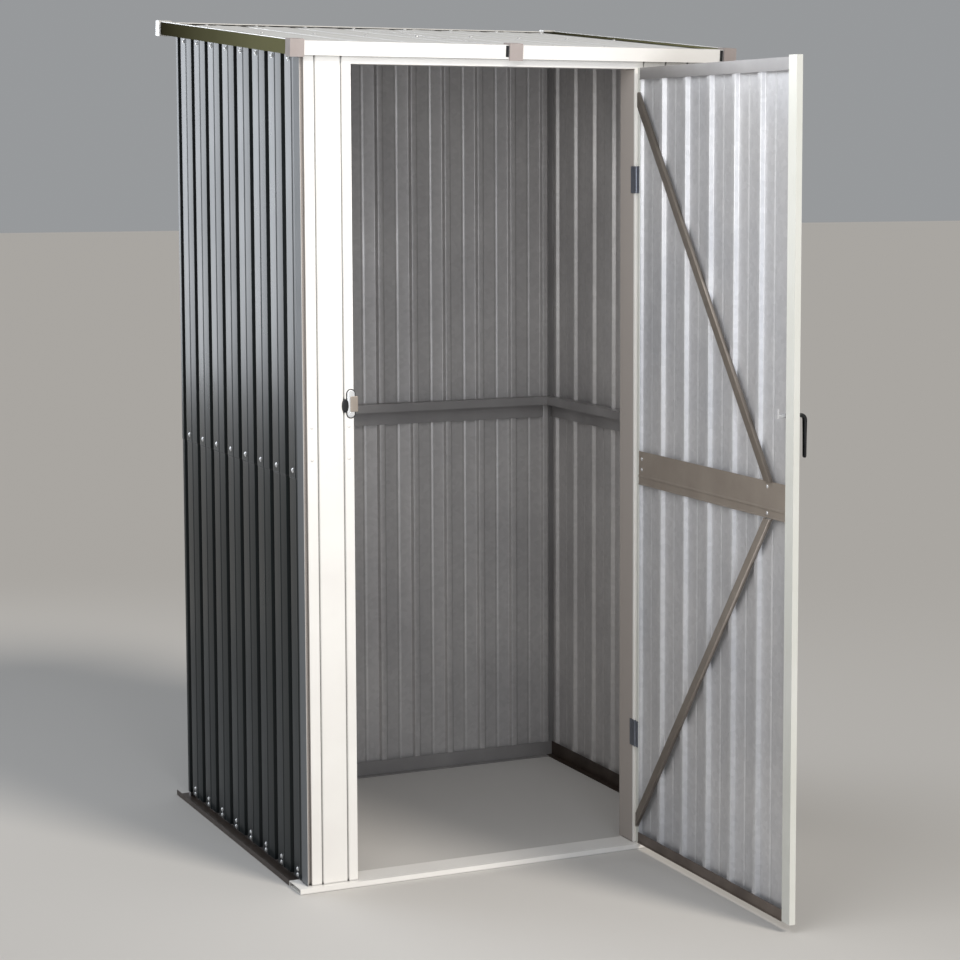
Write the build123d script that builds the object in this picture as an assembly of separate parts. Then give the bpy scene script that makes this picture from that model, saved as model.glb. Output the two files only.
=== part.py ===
from build123d import *
import math
import os

# Metal garden shed with a single-slope roof and one side-hung door, standing open at 90 degrees.
# X runs to the right seen from the front, Y to the back, Z up. All sizes are in millimetres.
# The origin is at ground level, under the middle of the front sill.

# Overall sizes
WIDTH = 880.0                # outside of the base frame and of the roof frame
ROOF_DEPTH = 823.0           # roof frame, measured level from front to back
BASE_DEPTH = 773.0           # base frame, front to back: the roof overhangs it at the back
HEIGHT_FRONT = 1521.0        # top edge of the roof frame at the front
ROOF_FALL = 73.0             # how much higher the roof stands at the back

# Sheet thicknesses
SHEET = 1.0
FRAME = 1.5

# Ribbed wall sheet
WALL_INSET = 20.0            # from the side of the base frame to the flats of the side walls
BACK_INSET = 15.0            # from the back of the base frame to the flats of the back wall
SIDE_PITCH = 90.5
SIDE_FIRST_RIB = 90.0        # from the face of the jambs
BACK_PITCH = 76.5
BACK_FIRST_RIB = 50.5        # from the left edge of the back sheet
SHEET_END_FLAT = 10.0        # least flat left at the end of a sheet
RIB_DEPTH = 8.0
RIB_MOUTH = 19.0
RIB_FLOOR = 12.0
BEAD_WIDTH = 8.0
BEAD_HEIGHT = 1.5
SEAM_HEIGHT = 759.5          # row of screws where the lower and upper sheets lap
SEAM_LAP = 24.0

# Base frame
SILL_DEPTH = 62.0
SILL_HEIGHT = 10.0
RAIL_HEIGHT = 30.0
RAIL_TOE = 14.0              # floor strip inside the upstand of the base rails
POST_LEG = 11.0

# Front frame and doorway
JAMB_SETBACK = 12.0          # from the front of the sill to the face of the jambs
JAMB_RETURN = 60.0
JAMB_FLANGE = 12.0
LEFT_JAMB_WIDTH = 94.0
RIGHT_JAMB_WIDTH = 183.0
LINTEL_HEIGHT = 14.0
LINTEL_RETURN = 40.0
JAMB_GROOVE_WIDTH = 4.5
JAMB_GROOVE_DEPTH = 3.0
JAMB_CORNER_FLAT = 24.5      # from the side wall to the first groove
JAMB_MIDDLE_FLAT = 44.5
JAMB_DOOR_FLAT = 16.0        # from the last groove to the doorway
JAMB_SLOT_WIDTH = 6.5
JAMB_SLOT_DEPTH = 8.0
JAMB_STRIP = 31.0            # strip round the corner over the front edge of the side wall

# Inside rails
GIRT_TOP = 801.0
GIRT_LEG = 46.0
GIRT_DEPTH = 24.0
GIRT_LIP = 17.0
TOP_RAIL_LEG = 44.0
TOP_RAIL_DEPTH = 24.0
PURLIN_DEPTH = 30.0
PURLIN_LEG = 26.0

# Roof
ROOF_FRAME_HEIGHT = 25.0
ROOF_TOP_FLANGE = 26.0
ROOF_BOTTOM_FLANGE = 27.0
ROOF_PITCH = 106.0
ROOF_LAP = 12.0
CAP_LENGTH = 26.0
CAP_WALL = 3.0
JOINER_OFFSET = 12.5         # middle of the clip on the front channel, left of the shed's middle

# Door
DOOR_GAP = 7.0               # between the closed door and the face of the jambs
DOOR_HINGE_GAP = 4.0         # from the hinge axis to the door's edge
DOOR_OVERLAP = 14.0          # over the left jamb
DOOR_BOTTOM_GAP = 5.0        # above the sill
DOOR_TOP_GAP = 5.5           # below the caps of the roof frame
DOOR_PITCH = 89.5
DOOR_FIRST_RIB = 127.0       # from the free edge of the door
HINGE_STILE_FLANGE = 8.0
FREE_STILE_FLANGE = 26.0
STILE_LAP = 12.0
RAIL_SETBACK = 3.0           # how much lower than the free stile the top rail stands
TOP_RAIL = 22.0
BOTTOM_RAIL = 20.0
MIDDLE_RAIL = 64.0
MIDDLE_RAIL_TOP = 769.5
RAIL_LIP = 1.5
BRACE_WIDTH = 25.0
BRACE_FOOT = 74.0            # from the free edge to a brace's end at the middle rail
BRACE_HEAD = 52.0            # from the door's top or bottom to a brace's end at the hinge stile

# Hinges
HINGE_HEIGHT = 50.0
HINGE_KNUCKLE_RADIUS = 3.5
HINGE_PIN_RADIUS = 1.5
HINGE_CLEARANCE = 0.1
HINGE_FRAME_LEAF = 14.0
HINGE_LEAF = 1.5
HINGE_GAP = 0.4
HINGE_FROM_END = 210.0       # from the door's top or bottom to the middle of a hinge

# Handle and latch
HANDLE_HEIGHT = 886.0
HANDLE_FROM_EDGE = 32.0
PLATE_WIDTH = 26.0
PLATE_ABOVE = 20.0
PLATE_BELOW = 86.0
PLATE_THICKNESS = 4.0
SPINDLE_RADIUS = 4.0
SPINDLE_CLEARANCE = 0.4
LEVER_STANDOFF = 26.0
LEVER_THICKNESS = 6.0
LEVER_WIDTH = 9.0
LEVER_LENGTH = 73.0
TONGUE_LENGTH = 12.0
TONGUE_WIDTH = 8.0
TONGUE_THICKNESS = 3.0
TONGUE_GAP = 5.0             # behind the face of the jambs with the door closed
KEEPER_DROP = 5.0            # from the handle's axis down to the middle of the keeper
KEEPER_HEIGHT = 54.0
KEEPER_WIDTH = 9.0
KEEPER_TAB = 8.0
KEEPER_TAB_HEIGHT = 28.0
KEEPER_THICKNESS = 2.0

# Slope of the roof
SLOPE = math.atan(ROOF_FALL / ROOF_DEPTH)
ROOF_LENGTH = ROOF_DEPTH / math.cos(SLOPE)
FRONT = -SILL_DEPTH / 2


def roof_underside(y):
    """Height of the roof frame's underside above the ground at a depth y."""
    drop = ROOF_FRAME_HEIGHT / math.cos(SLOPE)
    return HEIGHT_FRONT + (y - FRONT) * math.tan(SLOPE) - drop


# Places in the walls and the doorway
HALF_WIDTH = WIDTH / 2
TALL = HEIGHT_FRONT + ROOF_FALL
BASE_BACK = FRONT + BASE_DEPTH
SILL_BACK = FRONT + SILL_DEPTH
JAMB_FACE = FRONT + JAMB_SETBACK
SIDE_FLAT = HALF_WIDTH - WALL_INSET
BACK_FLAT = BASE_BACK - BACK_INSET
SIDE_INNER = SIDE_FLAT - RIB_DEPTH - SHEET
BACK_INNER = BACK_FLAT - RIB_DEPTH - SHEET
DOORWAY_LEFT = -SIDE_FLAT + LEFT_JAMB_WIDTH
DOORWAY_RIGHT = SIDE_FLAT - RIGHT_JAMB_WIDTH
DOORWAY_TOP = roof_underside(JAMB_FACE) - LINTEL_HEIGHT
LAP_BOTTOM = SEAM_HEIGHT - SEAM_LAP / 2
LAP_TOP = SEAM_HEIGHT + SEAM_LAP / 2

# Places in the roof's own frame: Y up the slope, Z square to the roof
ROOF_RIB_TOP = ROOF_FRAME_HEIGHT - FRAME
ROOF_FLAT = ROOF_RIB_TOP - BEAD_HEIGHT - SHEET
ROOF_SEAT = ROOF_FLAT - RIB_DEPTH - SHEET
ROOF_FRONT_INSIDE = JAMB_FACE + JAMB_RETURN - FRONT
ROOF_BACK_INSIDE = (BACK_INNER - FRONT) / math.cos(SLOPE) - ROOF_FRAME_HEIGHT * math.tan(SLOPE)

# Places on the open door: X is its thickness, Y its width
HINGE_X = DOORWAY_RIGHT
HINGE_Y = JAMB_FACE - DOOR_GAP
DOOR_WIDTH = DOORWAY_RIGHT - DOORWAY_LEFT - DOOR_HINGE_GAP + DOOR_OVERLAP
DOOR_HINGE_EDGE = HINGE_Y - DOOR_HINGE_GAP
DOOR_FREE_EDGE = DOOR_HINGE_EDGE - DOOR_WIDTH
DOOR_SKIN = HINGE_X + FRAME + RIB_DEPTH + SHEET
DOOR_OUTER = DOOR_SKIN + SHEET
DOOR_BOTTOM = SILL_HEIGHT + DOOR_BOTTOM_GAP
DOOR_TOP = roof_underside(FRONT) - CAP_WALL - DOOR_TOP_GAP
DOOR_RAIL_TOP = DOOR_TOP - RAIL_SETBACK
RAIL_START = DOOR_FREE_EDGE + FREE_STILE_FLANGE
RAIL_END = DOOR_HINGE_EDGE - HINGE_STILE_FLANGE
UPPER_HINGE = DOOR_TOP - HINGE_FROM_END
LOWER_HINGE = DOOR_BOTTOM + HINGE_FROM_END
HANDLE_Y = DOOR_FREE_EDGE + HANDLE_FROM_EDGE
TONGUE_FACE = HINGE_X - DOOR_GAP - TONGUE_GAP


def block(x0, y0, z0, x1, y1, z1):
    """Box between two opposite corners."""
    middle = Pos((x0 + x1) / 2, (y0 + y1) / 2, (z0 + z1) / 2)
    return middle * Box(abs(x1 - x0), abs(y1 - y0), abs(z1 - z0))


def below_roof(shape):
    """Cut a piece off along the plane of the roof frame's underside."""
    reach = 2 * max(WIDTH, BASE_DEPTH)
    keep = Polygon(
        (-reach, -reach),
        (reach, -reach),
        (reach, roof_underside(reach)),
        (-reach, roof_underside(-reach)),
        align=None,
    )
    wedge = extrude(Plane.YZ * keep, WIDTH, both=True)
    return shape & wedge


def rib_points(length, pitch, first):
    """Outer line of a ribbed sheet: grooves one pitch apart with a bead halfway between them."""
    last = length - SHEET_END_FLAT - RIB_MOUTH / 2
    count = int((last - first) // pitch) + 1
    features = [("groove", first + number * pitch) for number in range(count)]
    features += [("bead", first + (number - 0.5) * pitch) for number in range(count + 1)]
    end_room = SHEET_END_FLAT + BEAD_WIDTH
    points = [(0.0, 0.0)]
    for kind, middle in sorted(features, key=lambda feature: feature[1]):
        if kind == "groove":
            points += [
                (middle - RIB_MOUTH / 2, 0.0),
                (middle - RIB_FLOOR / 2, -RIB_DEPTH),
                (middle + RIB_FLOOR / 2, -RIB_DEPTH),
                (middle + RIB_MOUTH / 2, 0.0),
            ]
        elif end_room < middle < length - end_room:
            points += [
                (middle - BEAD_WIDTH / 2, 0.0),
                (middle, BEAD_HEIGHT),
                (middle + BEAD_WIDTH / 2, 0.0),
            ]
    points.append((length, 0.0))
    return points


def ribbed_sheet(length, height, pitch, first):
    """Upright ribbed sheet along +X: its flats lie at Y = 0 and its grooves run into +Y."""
    outer = [(x, -d) for x, d in rib_points(length, pitch, first)]
    inner = [(x, y + SHEET) for x, y in reversed(outer)]
    return extrude(Polygon(*outer, *inner, align=None), height)


def angle_bar(length, leg, depth, thickness):
    """L bar along +X: an upright leg below Y = 0..thickness and a top web into +Y."""
    return block(0, 0, -leg, length, thickness, 0) + block(0, 0, -thickness, length, depth, 0)


def on_side(shape, side):
    """A piece as drawn, or turned over from one side of the shed to the other."""
    return shape if side > 0 else mirror(shape, Plane.YZ)


def side_wall(side, z0, z1, lift):
    """One tier of a side wall, its flats lifted outwards where it laps the tier below."""
    start = JAMB_FACE + JAMB_SLOT_DEPTH
    length = BACK_FLAT - SHEET - start
    sheet = ribbed_sheet(length, z1 - z0, SIDE_PITCH, SIDE_FIRST_RIB - JAMB_SLOT_DEPTH)
    place = Pos(SIDE_FLAT + lift, start, z0) * Rot(0, 0, 90)
    return below_roof(on_side(place * sheet, side))


def back_wall(z0, z1, lift):
    """One tier of the back wall."""
    length = 2 * (SIDE_FLAT - SHEET)
    sheet = mirror(ribbed_sheet(length, z1 - z0, BACK_PITCH, BACK_FIRST_RIB), Plane.XZ)
    return below_roof(Pos(-length / 2, BACK_FLAT + lift, z0) * sheet)


def base_side_rail(side):
    """Side rail of the base: low outer lip, floor strip and the upstand the wall is screwed to."""
    outer = side * HALF_WIDTH
    inner = side * SIDE_INNER
    toe = inner - side * (FRAME + RAIL_TOE)
    lip = block(outer, SILL_BACK, 0, outer - side * FRAME, BASE_BACK, SILL_HEIGHT)
    floor = block(outer, SILL_BACK, 0, toe, BASE_BACK, FRAME)
    stand = block(inner, SILL_BACK, 0, inner - side * FRAME, BACK_INNER - FRAME, RAIL_HEIGHT)
    return lip + floor + stand


def base_back_rail():
    """Back rail of the base, between the two side rails."""
    end = SIDE_INNER - FRAME - RAIL_TOE
    stand_end = SIDE_INNER - FRAME
    floor = block(-end, BACK_INNER - FRAME - RAIL_TOE, 0, end, BASE_BACK, FRAME)
    lip = block(-end, BASE_BACK - FRAME, 0, end, BASE_BACK, SILL_HEIGHT)
    stand = block(-stand_end, BACK_INNER - FRAME, FRAME, stand_end, BACK_INNER, RAIL_HEIGHT)
    return floor + lip + stand


def sill():
    """Folded sill across the front, a flat hollow section open at both ends."""
    outer = block(-HALF_WIDTH, FRONT, 0, HALF_WIDTH, SILL_BACK, SILL_HEIGHT)
    inside = block(-WIDTH, FRONT + FRAME, FRAME, WIDTH, SILL_BACK - FRAME, SILL_HEIGHT - FRAME)
    return outer - inside


def back_post(side):
    """Corner angle behind the last flats of the side and back walls."""
    x = side * (SIDE_FLAT - SHEET)
    y = BACK_FLAT - SHEET
    leg = block(x, y, FRAME, x - side * FRAME, y - POST_LEG, TALL)
    face = block(x, y, FRAME, x - side * POST_LEG, y - FRAME, TALL)
    return below_roof(leg + face)


def jamb_face_points(width, wide_flats):
    """Face of a front jamb: wide flats between narrow grooves, past the slot at the corner."""
    points = [(JAMB_SLOT_WIDTH, 0.0)]
    span = (width - JAMB_CORNER_FLAT - JAMB_DOOR_FLAT - JAMB_GROOVE_WIDTH) / wide_flats
    for number in range(wide_flats + 1):
        groove = JAMB_CORNER_FLAT + number * span
        points += [
            (groove, 0.0),
            (groove + JAMB_GROOVE_WIDTH / 2, JAMB_GROOVE_DEPTH),
            (groove + JAMB_GROOVE_WIDTH, 0.0),
        ]
    points.append((width, 0.0))
    return points


def jamb(width):
    """Front jamb along +X, folded round the corner at one end and into the doorway at the other."""
    span = JAMB_MIDDLE_FLAT + JAMB_GROOVE_WIDTH
    wide_flats = max(1, round((width - JAMB_CORNER_FLAT - JAMB_DOOR_FLAT) / span))
    outer = jamb_face_points(width, wide_flats)
    inner = [(x, y + SHEET) for x, y in reversed(outer)]
    face = extrude(Polygon(*outer, *inner, align=None), TALL)
    slot_x = JAMB_SLOT_WIDTH + SHEET
    strip_x = -2 * SHEET
    slot_side = block(JAMB_SLOT_WIDTH, 0, 0, slot_x, JAMB_SLOT_DEPTH, TALL)
    slot_floor = block(strip_x, JAMB_SLOT_DEPTH - SHEET, 0, slot_x, JAMB_SLOT_DEPTH, TALL)
    strip = block(strip_x, 0, 0, strip_x + SHEET, JAMB_STRIP, TALL)
    back = block(width - FRAME, 0, 0, width, JAMB_RETURN, TALL)
    flange = block(width - JAMB_FLANGE, JAMB_RETURN - FRAME, 0, width, JAMB_RETURN, TALL)
    return face + slot_side + slot_floor + strip + back + flange


def jamb_left():
    """Narrow jamb on the latch side."""
    return below_roof(Pos(-SIDE_FLAT, JAMB_FACE, SILL_HEIGHT) * jamb(LEFT_JAMB_WIDTH))


def jamb_right():
    """Wide jamb on the hinge side, the left jamb's section turned over."""
    shape = Pos(-SIDE_FLAT, JAMB_FACE, SILL_HEIGHT) * jamb(RIGHT_JAMB_WIDTH)
    return below_roof(on_side(shape, -1))


def lintel():
    """Folded strip over the doorway, between the two jambs."""
    back_y = JAMB_FACE + LINTEL_RETURN
    face = block(DOORWAY_LEFT, JAMB_FACE, DOORWAY_TOP, DOORWAY_RIGHT, JAMB_FACE + FRAME, TALL)
    fold = block(DOORWAY_LEFT, JAMB_FACE, DOORWAY_TOP, DOORWAY_RIGHT, back_y, DOORWAY_TOP + FRAME)
    return below_roof(face + fold)


def girt_bar(length):
    """Folded rail along +X: leg on the wall at Y = 0, web into +Y, short lip down."""
    bar = angle_bar(length, GIRT_LEG, GIRT_DEPTH, FRAME)
    return bar + block(0, GIRT_DEPTH - FRAME, -GIRT_LIP, length, GIRT_DEPTH, 0)


def girt_back():
    """Rail across the back wall."""
    length = 2 * (SIDE_INNER - GIRT_DEPTH)
    return Pos(length / 2, BACK_INNER, GIRT_TOP) * Rot(0, 0, 180) * girt_bar(length)


def girt_side(side):
    """Rail along a side wall, from the jamb's return to the back wall."""
    start = JAMB_FACE + JAMB_RETURN
    length = BACK_INNER - start
    if side < 0:
        return Pos(-SIDE_INNER, BACK_INNER, GIRT_TOP) * Rot(0, 0, -90) * girt_bar(length)
    return Pos(SIDE_INNER, start, GIRT_TOP) * Rot(0, 0, 90) * girt_bar(length)


def on_roof(shape):
    """Tilt a piece drawn in the roof's own frame and set it on the walls."""
    return Pos(0, FRONT, roof_underside(FRONT)) * Rot(math.degrees(SLOPE), 0, 0) * shape


def top_rail_side(side):
    """Rail along the top of a side wall that carries the roof sheets."""
    outer = side * SIDE_INNER
    leg_x = outer - side * FRAME
    web_x = outer - side * TOP_RAIL_DEPTH
    y0 = ROOF_FRONT_INSIDE
    y1 = ROOF_BACK_INSIDE
    leg = block(outer, y0, ROOF_SEAT - TOP_RAIL_LEG, leg_x, y1, ROOF_SEAT)
    web = block(outer, y0, ROOF_SEAT - FRAME, web_x, y1, ROOF_SEAT)
    return on_roof(leg + web)


def top_rail_back():
    """Rail along the top of the back wall, between the side rails."""
    end = SIDE_INNER - TOP_RAIL_DEPTH
    y = ROOF_BACK_INSIDE
    leg = block(-end, y, ROOF_SEAT - TOP_RAIL_LEG, end, y - FRAME, ROOF_SEAT)
    web = block(-end, y, ROOF_SEAT - FRAME, end, y - TOP_RAIL_DEPTH, ROOF_SEAT)
    return on_roof(leg + web)


def purlin():
    """Bar across the middle of the roof, from one side rail to the other."""
    end = SIDE_INNER - TOP_RAIL_DEPTH
    low = ROOF_SEAT - PURLIN_LEG
    y0 = ROOF_LENGTH / 2
    y1 = y0 + PURLIN_DEPTH
    web = block(-end, y0, ROOF_SEAT - FRAME, end, y1, ROOF_SEAT)
    front = block(-end, y0, low, end, y0 + FRAME, ROOF_SEAT)
    back = block(-end, y1 - FRAME, low, end, y1, ROOF_SEAT)
    return on_roof(web + front + back)


def roof_sheet(side):
    """One half of the roof, ribs running from back to front, lapping the other half at the middle."""
    lift = SHEET if side > 0 else 0.0
    length = HALF_WIDTH - FRAME + ROOF_LAP / 2
    height = ROOF_LENGTH - 2 * FRAME
    first = (length - 3 * ROOF_PITCH) / 2
    sheet = ribbed_sheet(length, height, ROOF_PITCH, first)
    laid = Rot(-90, 0, 0) * sheet
    start = -HALF_WIDTH + FRAME if side < 0 else -ROOF_LAP / 2
    return on_roof(Pos(start, FRAME, ROOF_FLAT + lift) * laid)


def fascia_front():
    """Channel along the front edge of the roof, from side to side."""
    web = block(-HALF_WIDTH, 0, 0, HALF_WIDTH, FRAME, ROOF_FRAME_HEIGHT)
    top = block(-HALF_WIDTH, 0, ROOF_RIB_TOP, HALF_WIDTH, ROOF_TOP_FLANGE, ROOF_FRAME_HEIGHT)
    bottom = block(-HALF_WIDTH, 0, 0, HALF_WIDTH, ROOF_BOTTOM_FLANGE, FRAME)
    return web + top + bottom


def fascia_side(side):
    """Channel along a side edge of the roof, between the front and back channels."""
    x = side * HALF_WIDTH
    y0 = ROOF_BOTTOM_FLANGE
    y1 = ROOF_LENGTH - ROOF_BOTTOM_FLANGE
    web = block(x, y0, 0, x - side * FRAME, y1, ROOF_FRAME_HEIGHT)
    top = block(x, y0, ROOF_RIB_TOP, x - side * ROOF_TOP_FLANGE, y1, ROOF_FRAME_HEIGHT)
    bottom = block(x, y0, 0, x - side * ROOF_BOTTOM_FLANGE, y1, FRAME)
    return on_roof(web + top + bottom)


def roof_cap():
    """Moulded cap for the front left corner: a shell over the ends of the two channels."""
    x0 = -HALF_WIDTH - CAP_WALL
    top = ROOF_FRAME_HEIGHT + CAP_WALL
    outer = block(x0, -CAP_WALL, -CAP_WALL, x0 + CAP_LENGTH, CAP_LENGTH - CAP_WALL, top)
    inside = block(-HALF_WIDTH, 0, 0, HALF_WIDTH, ROOF_LENGTH, ROOF_FRAME_HEIGHT)
    wall_x = -SIDE_FLAT - 2 * SHEET
    wall_y = JAMB_SETBACK - SHEET
    wall = block(wall_x, wall_y, -2 * CAP_WALL, HALF_WIDTH, ROOF_LENGTH, ROOF_FRAME_HEIGHT)
    return outer - inside - wall


def fascia_joiner():
    """Moulded clip over the front channel, a little left of its middle."""
    x0 = -JOINER_OFFSET - CAP_LENGTH / 2
    x1 = x0 + CAP_LENGTH
    top = ROOF_FRAME_HEIGHT + CAP_WALL
    outer = block(x0, -CAP_WALL, -CAP_WALL, x1, ROOF_TOP_FLANGE, top)
    inside = block(-HALF_WIDTH, 0, -2 * CAP_WALL, HALF_WIDTH, ROOF_LENGTH, ROOF_FRAME_HEIGHT)
    return outer - inside


def at_back(shape):
    """A piece of the front edge of the roof frame, turned over for the back edge."""
    return Pos(0, ROOF_LENGTH, 0) * mirror(shape, Plane.XZ)


def spindle(x0, x1, radius):
    """Round bar on the handle's axis between two places."""
    return Pos((x0 + x1) / 2, HANDLE_Y, HANDLE_HEIGHT) * Rot(0, 90, 0) * Cylinder(radius, x1 - x0)


def door_sheet():
    """Ribbed skin on the outer side of the door, set inside the edge channels."""
    z0 = DOOR_BOTTOM + FRAME
    z1 = DOOR_RAIL_TOP - FRAME
    sheet = ribbed_sheet(DOOR_WIDTH + 2 * RIB_MOUTH, z1 - z0, DOOR_PITCH, DOOR_FIRST_RIB)
    skin = Pos(DOOR_SKIN, DOOR_FREE_EDGE, z0) * Rot(0, 0, 90) * sheet
    y0 = DOOR_FREE_EDGE + FRAME
    y1 = DOOR_HINGE_EDGE - FRAME
    hole = spindle(HINGE_X, DOOR_SKIN + SHEET, SPINDLE_RADIUS + SPINDLE_CLEARANCE)
    return (skin & block(HINGE_X, y0, z0, DOOR_SKIN + BEAD_HEIGHT, y1, z1)) - hole


def door_stile(edge, inward, flange, top):
    """Edge channel of the door: inner flange, edge web and an outer lap over the skin."""
    web = block(HINGE_X, edge, DOOR_BOTTOM, DOOR_OUTER, edge + inward * FRAME, top)
    inner = block(HINGE_X, edge, DOOR_BOTTOM, HINGE_X + FRAME, edge + inward * flange, top)
    lap = block(DOOR_SKIN, edge, DOOR_BOTTOM, DOOR_OUTER, edge + inward * STILE_LAP, top)
    return web + inner + lap


def door_rail(z0, z1):
    """Flat rail on the ridges of the skin, its lower edge folded inwards to a low lip."""
    face = block(HINGE_X, RAIL_START, z0, HINGE_X + FRAME, RAIL_END, z1)
    lip = block(HINGE_X - RAIL_LIP, RAIL_START, z0, HINGE_X, RAIL_END, z0 + FRAME)
    return face + lip


def door_end_web(z0, z1):
    """Web that closes the skin's ribs along the top or the bottom of the door."""
    y0 = DOOR_FREE_EDGE + FRAME
    y1 = DOOR_HINGE_EDGE - FRAME
    return block(HINGE_X + FRAME, y0, z0, DOOR_SKIN, y1, z1)


def door_brace(z_middle, z_hinge):
    """Flat strap running aslant on the ridges, from the middle rail to the hinge stile."""
    y_free = DOOR_FREE_EDGE + BRACE_FOOT
    run = RAIL_END - y_free
    rise = z_hinge - z_middle
    length = 2 * math.hypot(run, rise)
    turn = math.degrees(math.atan2(rise, run))
    half = BRACE_WIDTH / 2
    strap = block(HINGE_X, -length / 2, -half, HINGE_X + FRAME, length / 2, half)
    bar = Pos(0, (y_free + RAIL_END) / 2, (z_middle + z_hinge) / 2) * Rot(turn, 0, 0) * strap
    if rise > 0:
        z_end = DOOR_RAIL_TOP - TOP_RAIL
    else:
        z_end = DOOR_BOTTOM + BOTTOM_RAIL
    return bar & block(HINGE_X, RAIL_START, z_middle, DOOR_OUTER, RAIL_END, z_end)


def hinge_barrel(z0, z1, radius):
    """Upright round bar on the hinge axis."""
    return Pos(HINGE_X, HINGE_Y, (z0 + z1) / 2) * Cylinder(radius, z1 - z0)


def frame_hinge(height):
    """Hinge half on the jamb's return: leaf, lower knuckle and the pin."""
    z0 = height - HINGE_HEIGHT / 2
    z1 = height + HINGE_HEIGHT / 2
    seam = height - HINGE_GAP / 2
    x0 = HINGE_X - HINGE_LEAF
    y1 = JAMB_FACE + HINGE_FRAME_LEAF
    lower_leaf = block(x0, HINGE_Y, z0, HINGE_X, y1, seam)
    upper_leaf = block(x0, JAMB_FACE, z0, HINGE_X, y1, z1)
    knuckle = hinge_barrel(z0, seam, HINGE_KNUCKLE_RADIUS)
    pin = hinge_barrel(z0, z1, HINGE_PIN_RADIUS)
    return lower_leaf + upper_leaf + knuckle + pin


def door_hinge(height):
    """Hinge half on the hinge stile: leaf and upper knuckle, bored for the pin."""
    z0 = height - HINGE_HEIGHT / 2
    z1 = height + HINGE_HEIGHT / 2
    seam = height + HINGE_GAP / 2
    x0 = HINGE_X - HINGE_LEAF
    upper_leaf = block(x0, HINGE_Y, seam, HINGE_X, RAIL_END, z1)
    lower_leaf = block(x0, DOOR_HINGE_EDGE, z0, HINGE_X, RAIL_END, z1)
    knuckle = hinge_barrel(seam, z1, HINGE_KNUCKLE_RADIUS)
    bore = hinge_barrel(z0, z1 + HINGE_GAP, HINGE_PIN_RADIUS + HINGE_CLEARANCE)
    return upper_leaf + lower_leaf + knuckle - bore


def handle_plate():
    """Back plate of the handle on the outer side of the door."""
    x1 = DOOR_SKIN + PLATE_THICKNESS
    y0 = HANDLE_Y - PLATE_WIDTH / 2
    y1 = HANDLE_Y + PLATE_WIDTH / 2
    plate = block(DOOR_SKIN, y0, HANDLE_HEIGHT - PLATE_BELOW, x1, y1, HANDLE_HEIGHT + PLATE_ABOVE)
    return plate - spindle(HINGE_X, x1 + PLATE_THICKNESS, SPINDLE_RADIUS + SPINDLE_CLEARANCE)


def handle_lever():
    """Lever that hangs from the spindle, with the spindle through the door."""
    x0 = DOOR_OUTER + LEVER_STANDOFF
    x1 = x0 + LEVER_THICKNESS
    half = LEVER_WIDTH / 2
    low = HANDLE_HEIGHT - LEVER_LENGTH
    shaft = spindle(TONGUE_FACE, x1, SPINDLE_RADIUS)
    grip = block(x0, HANDLE_Y - half, low, x1, HANDLE_Y + half, HANDLE_HEIGHT + half)
    return shaft + grip


def latch_tongue():
    """Short flat tongue on the inner end of the spindle."""
    x0 = TONGUE_FACE - TONGUE_THICKNESS
    half = TONGUE_WIDTH / 2
    top = HANDLE_HEIGHT + TONGUE_LENGTH
    return block(x0, HANDLE_Y - half, HANDLE_HEIGHT - half, TONGUE_FACE, HANDLE_Y + half, top)


def latch_keeper():
    """Keeper on the face of the left jamb, with a tab that reaches into the doorway."""
    middle = HANDLE_HEIGHT - KEEPER_DROP
    front = JAMB_FACE - KEEPER_THICKNESS
    x0 = DOORWAY_LEFT - KEEPER_WIDTH
    x1 = DOORWAY_LEFT + KEEPER_TAB
    half_body = KEEPER_HEIGHT / 2
    half_tab = KEEPER_TAB_HEIGHT / 2
    body = block(x0, front, middle - half_body, DOORWAY_LEFT, JAMB_FACE, middle + half_body)
    tab = block(DOORWAY_LEFT, front, middle - half_tab, x1, JAMB_FACE, middle + half_tab)
    return body + tab


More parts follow.
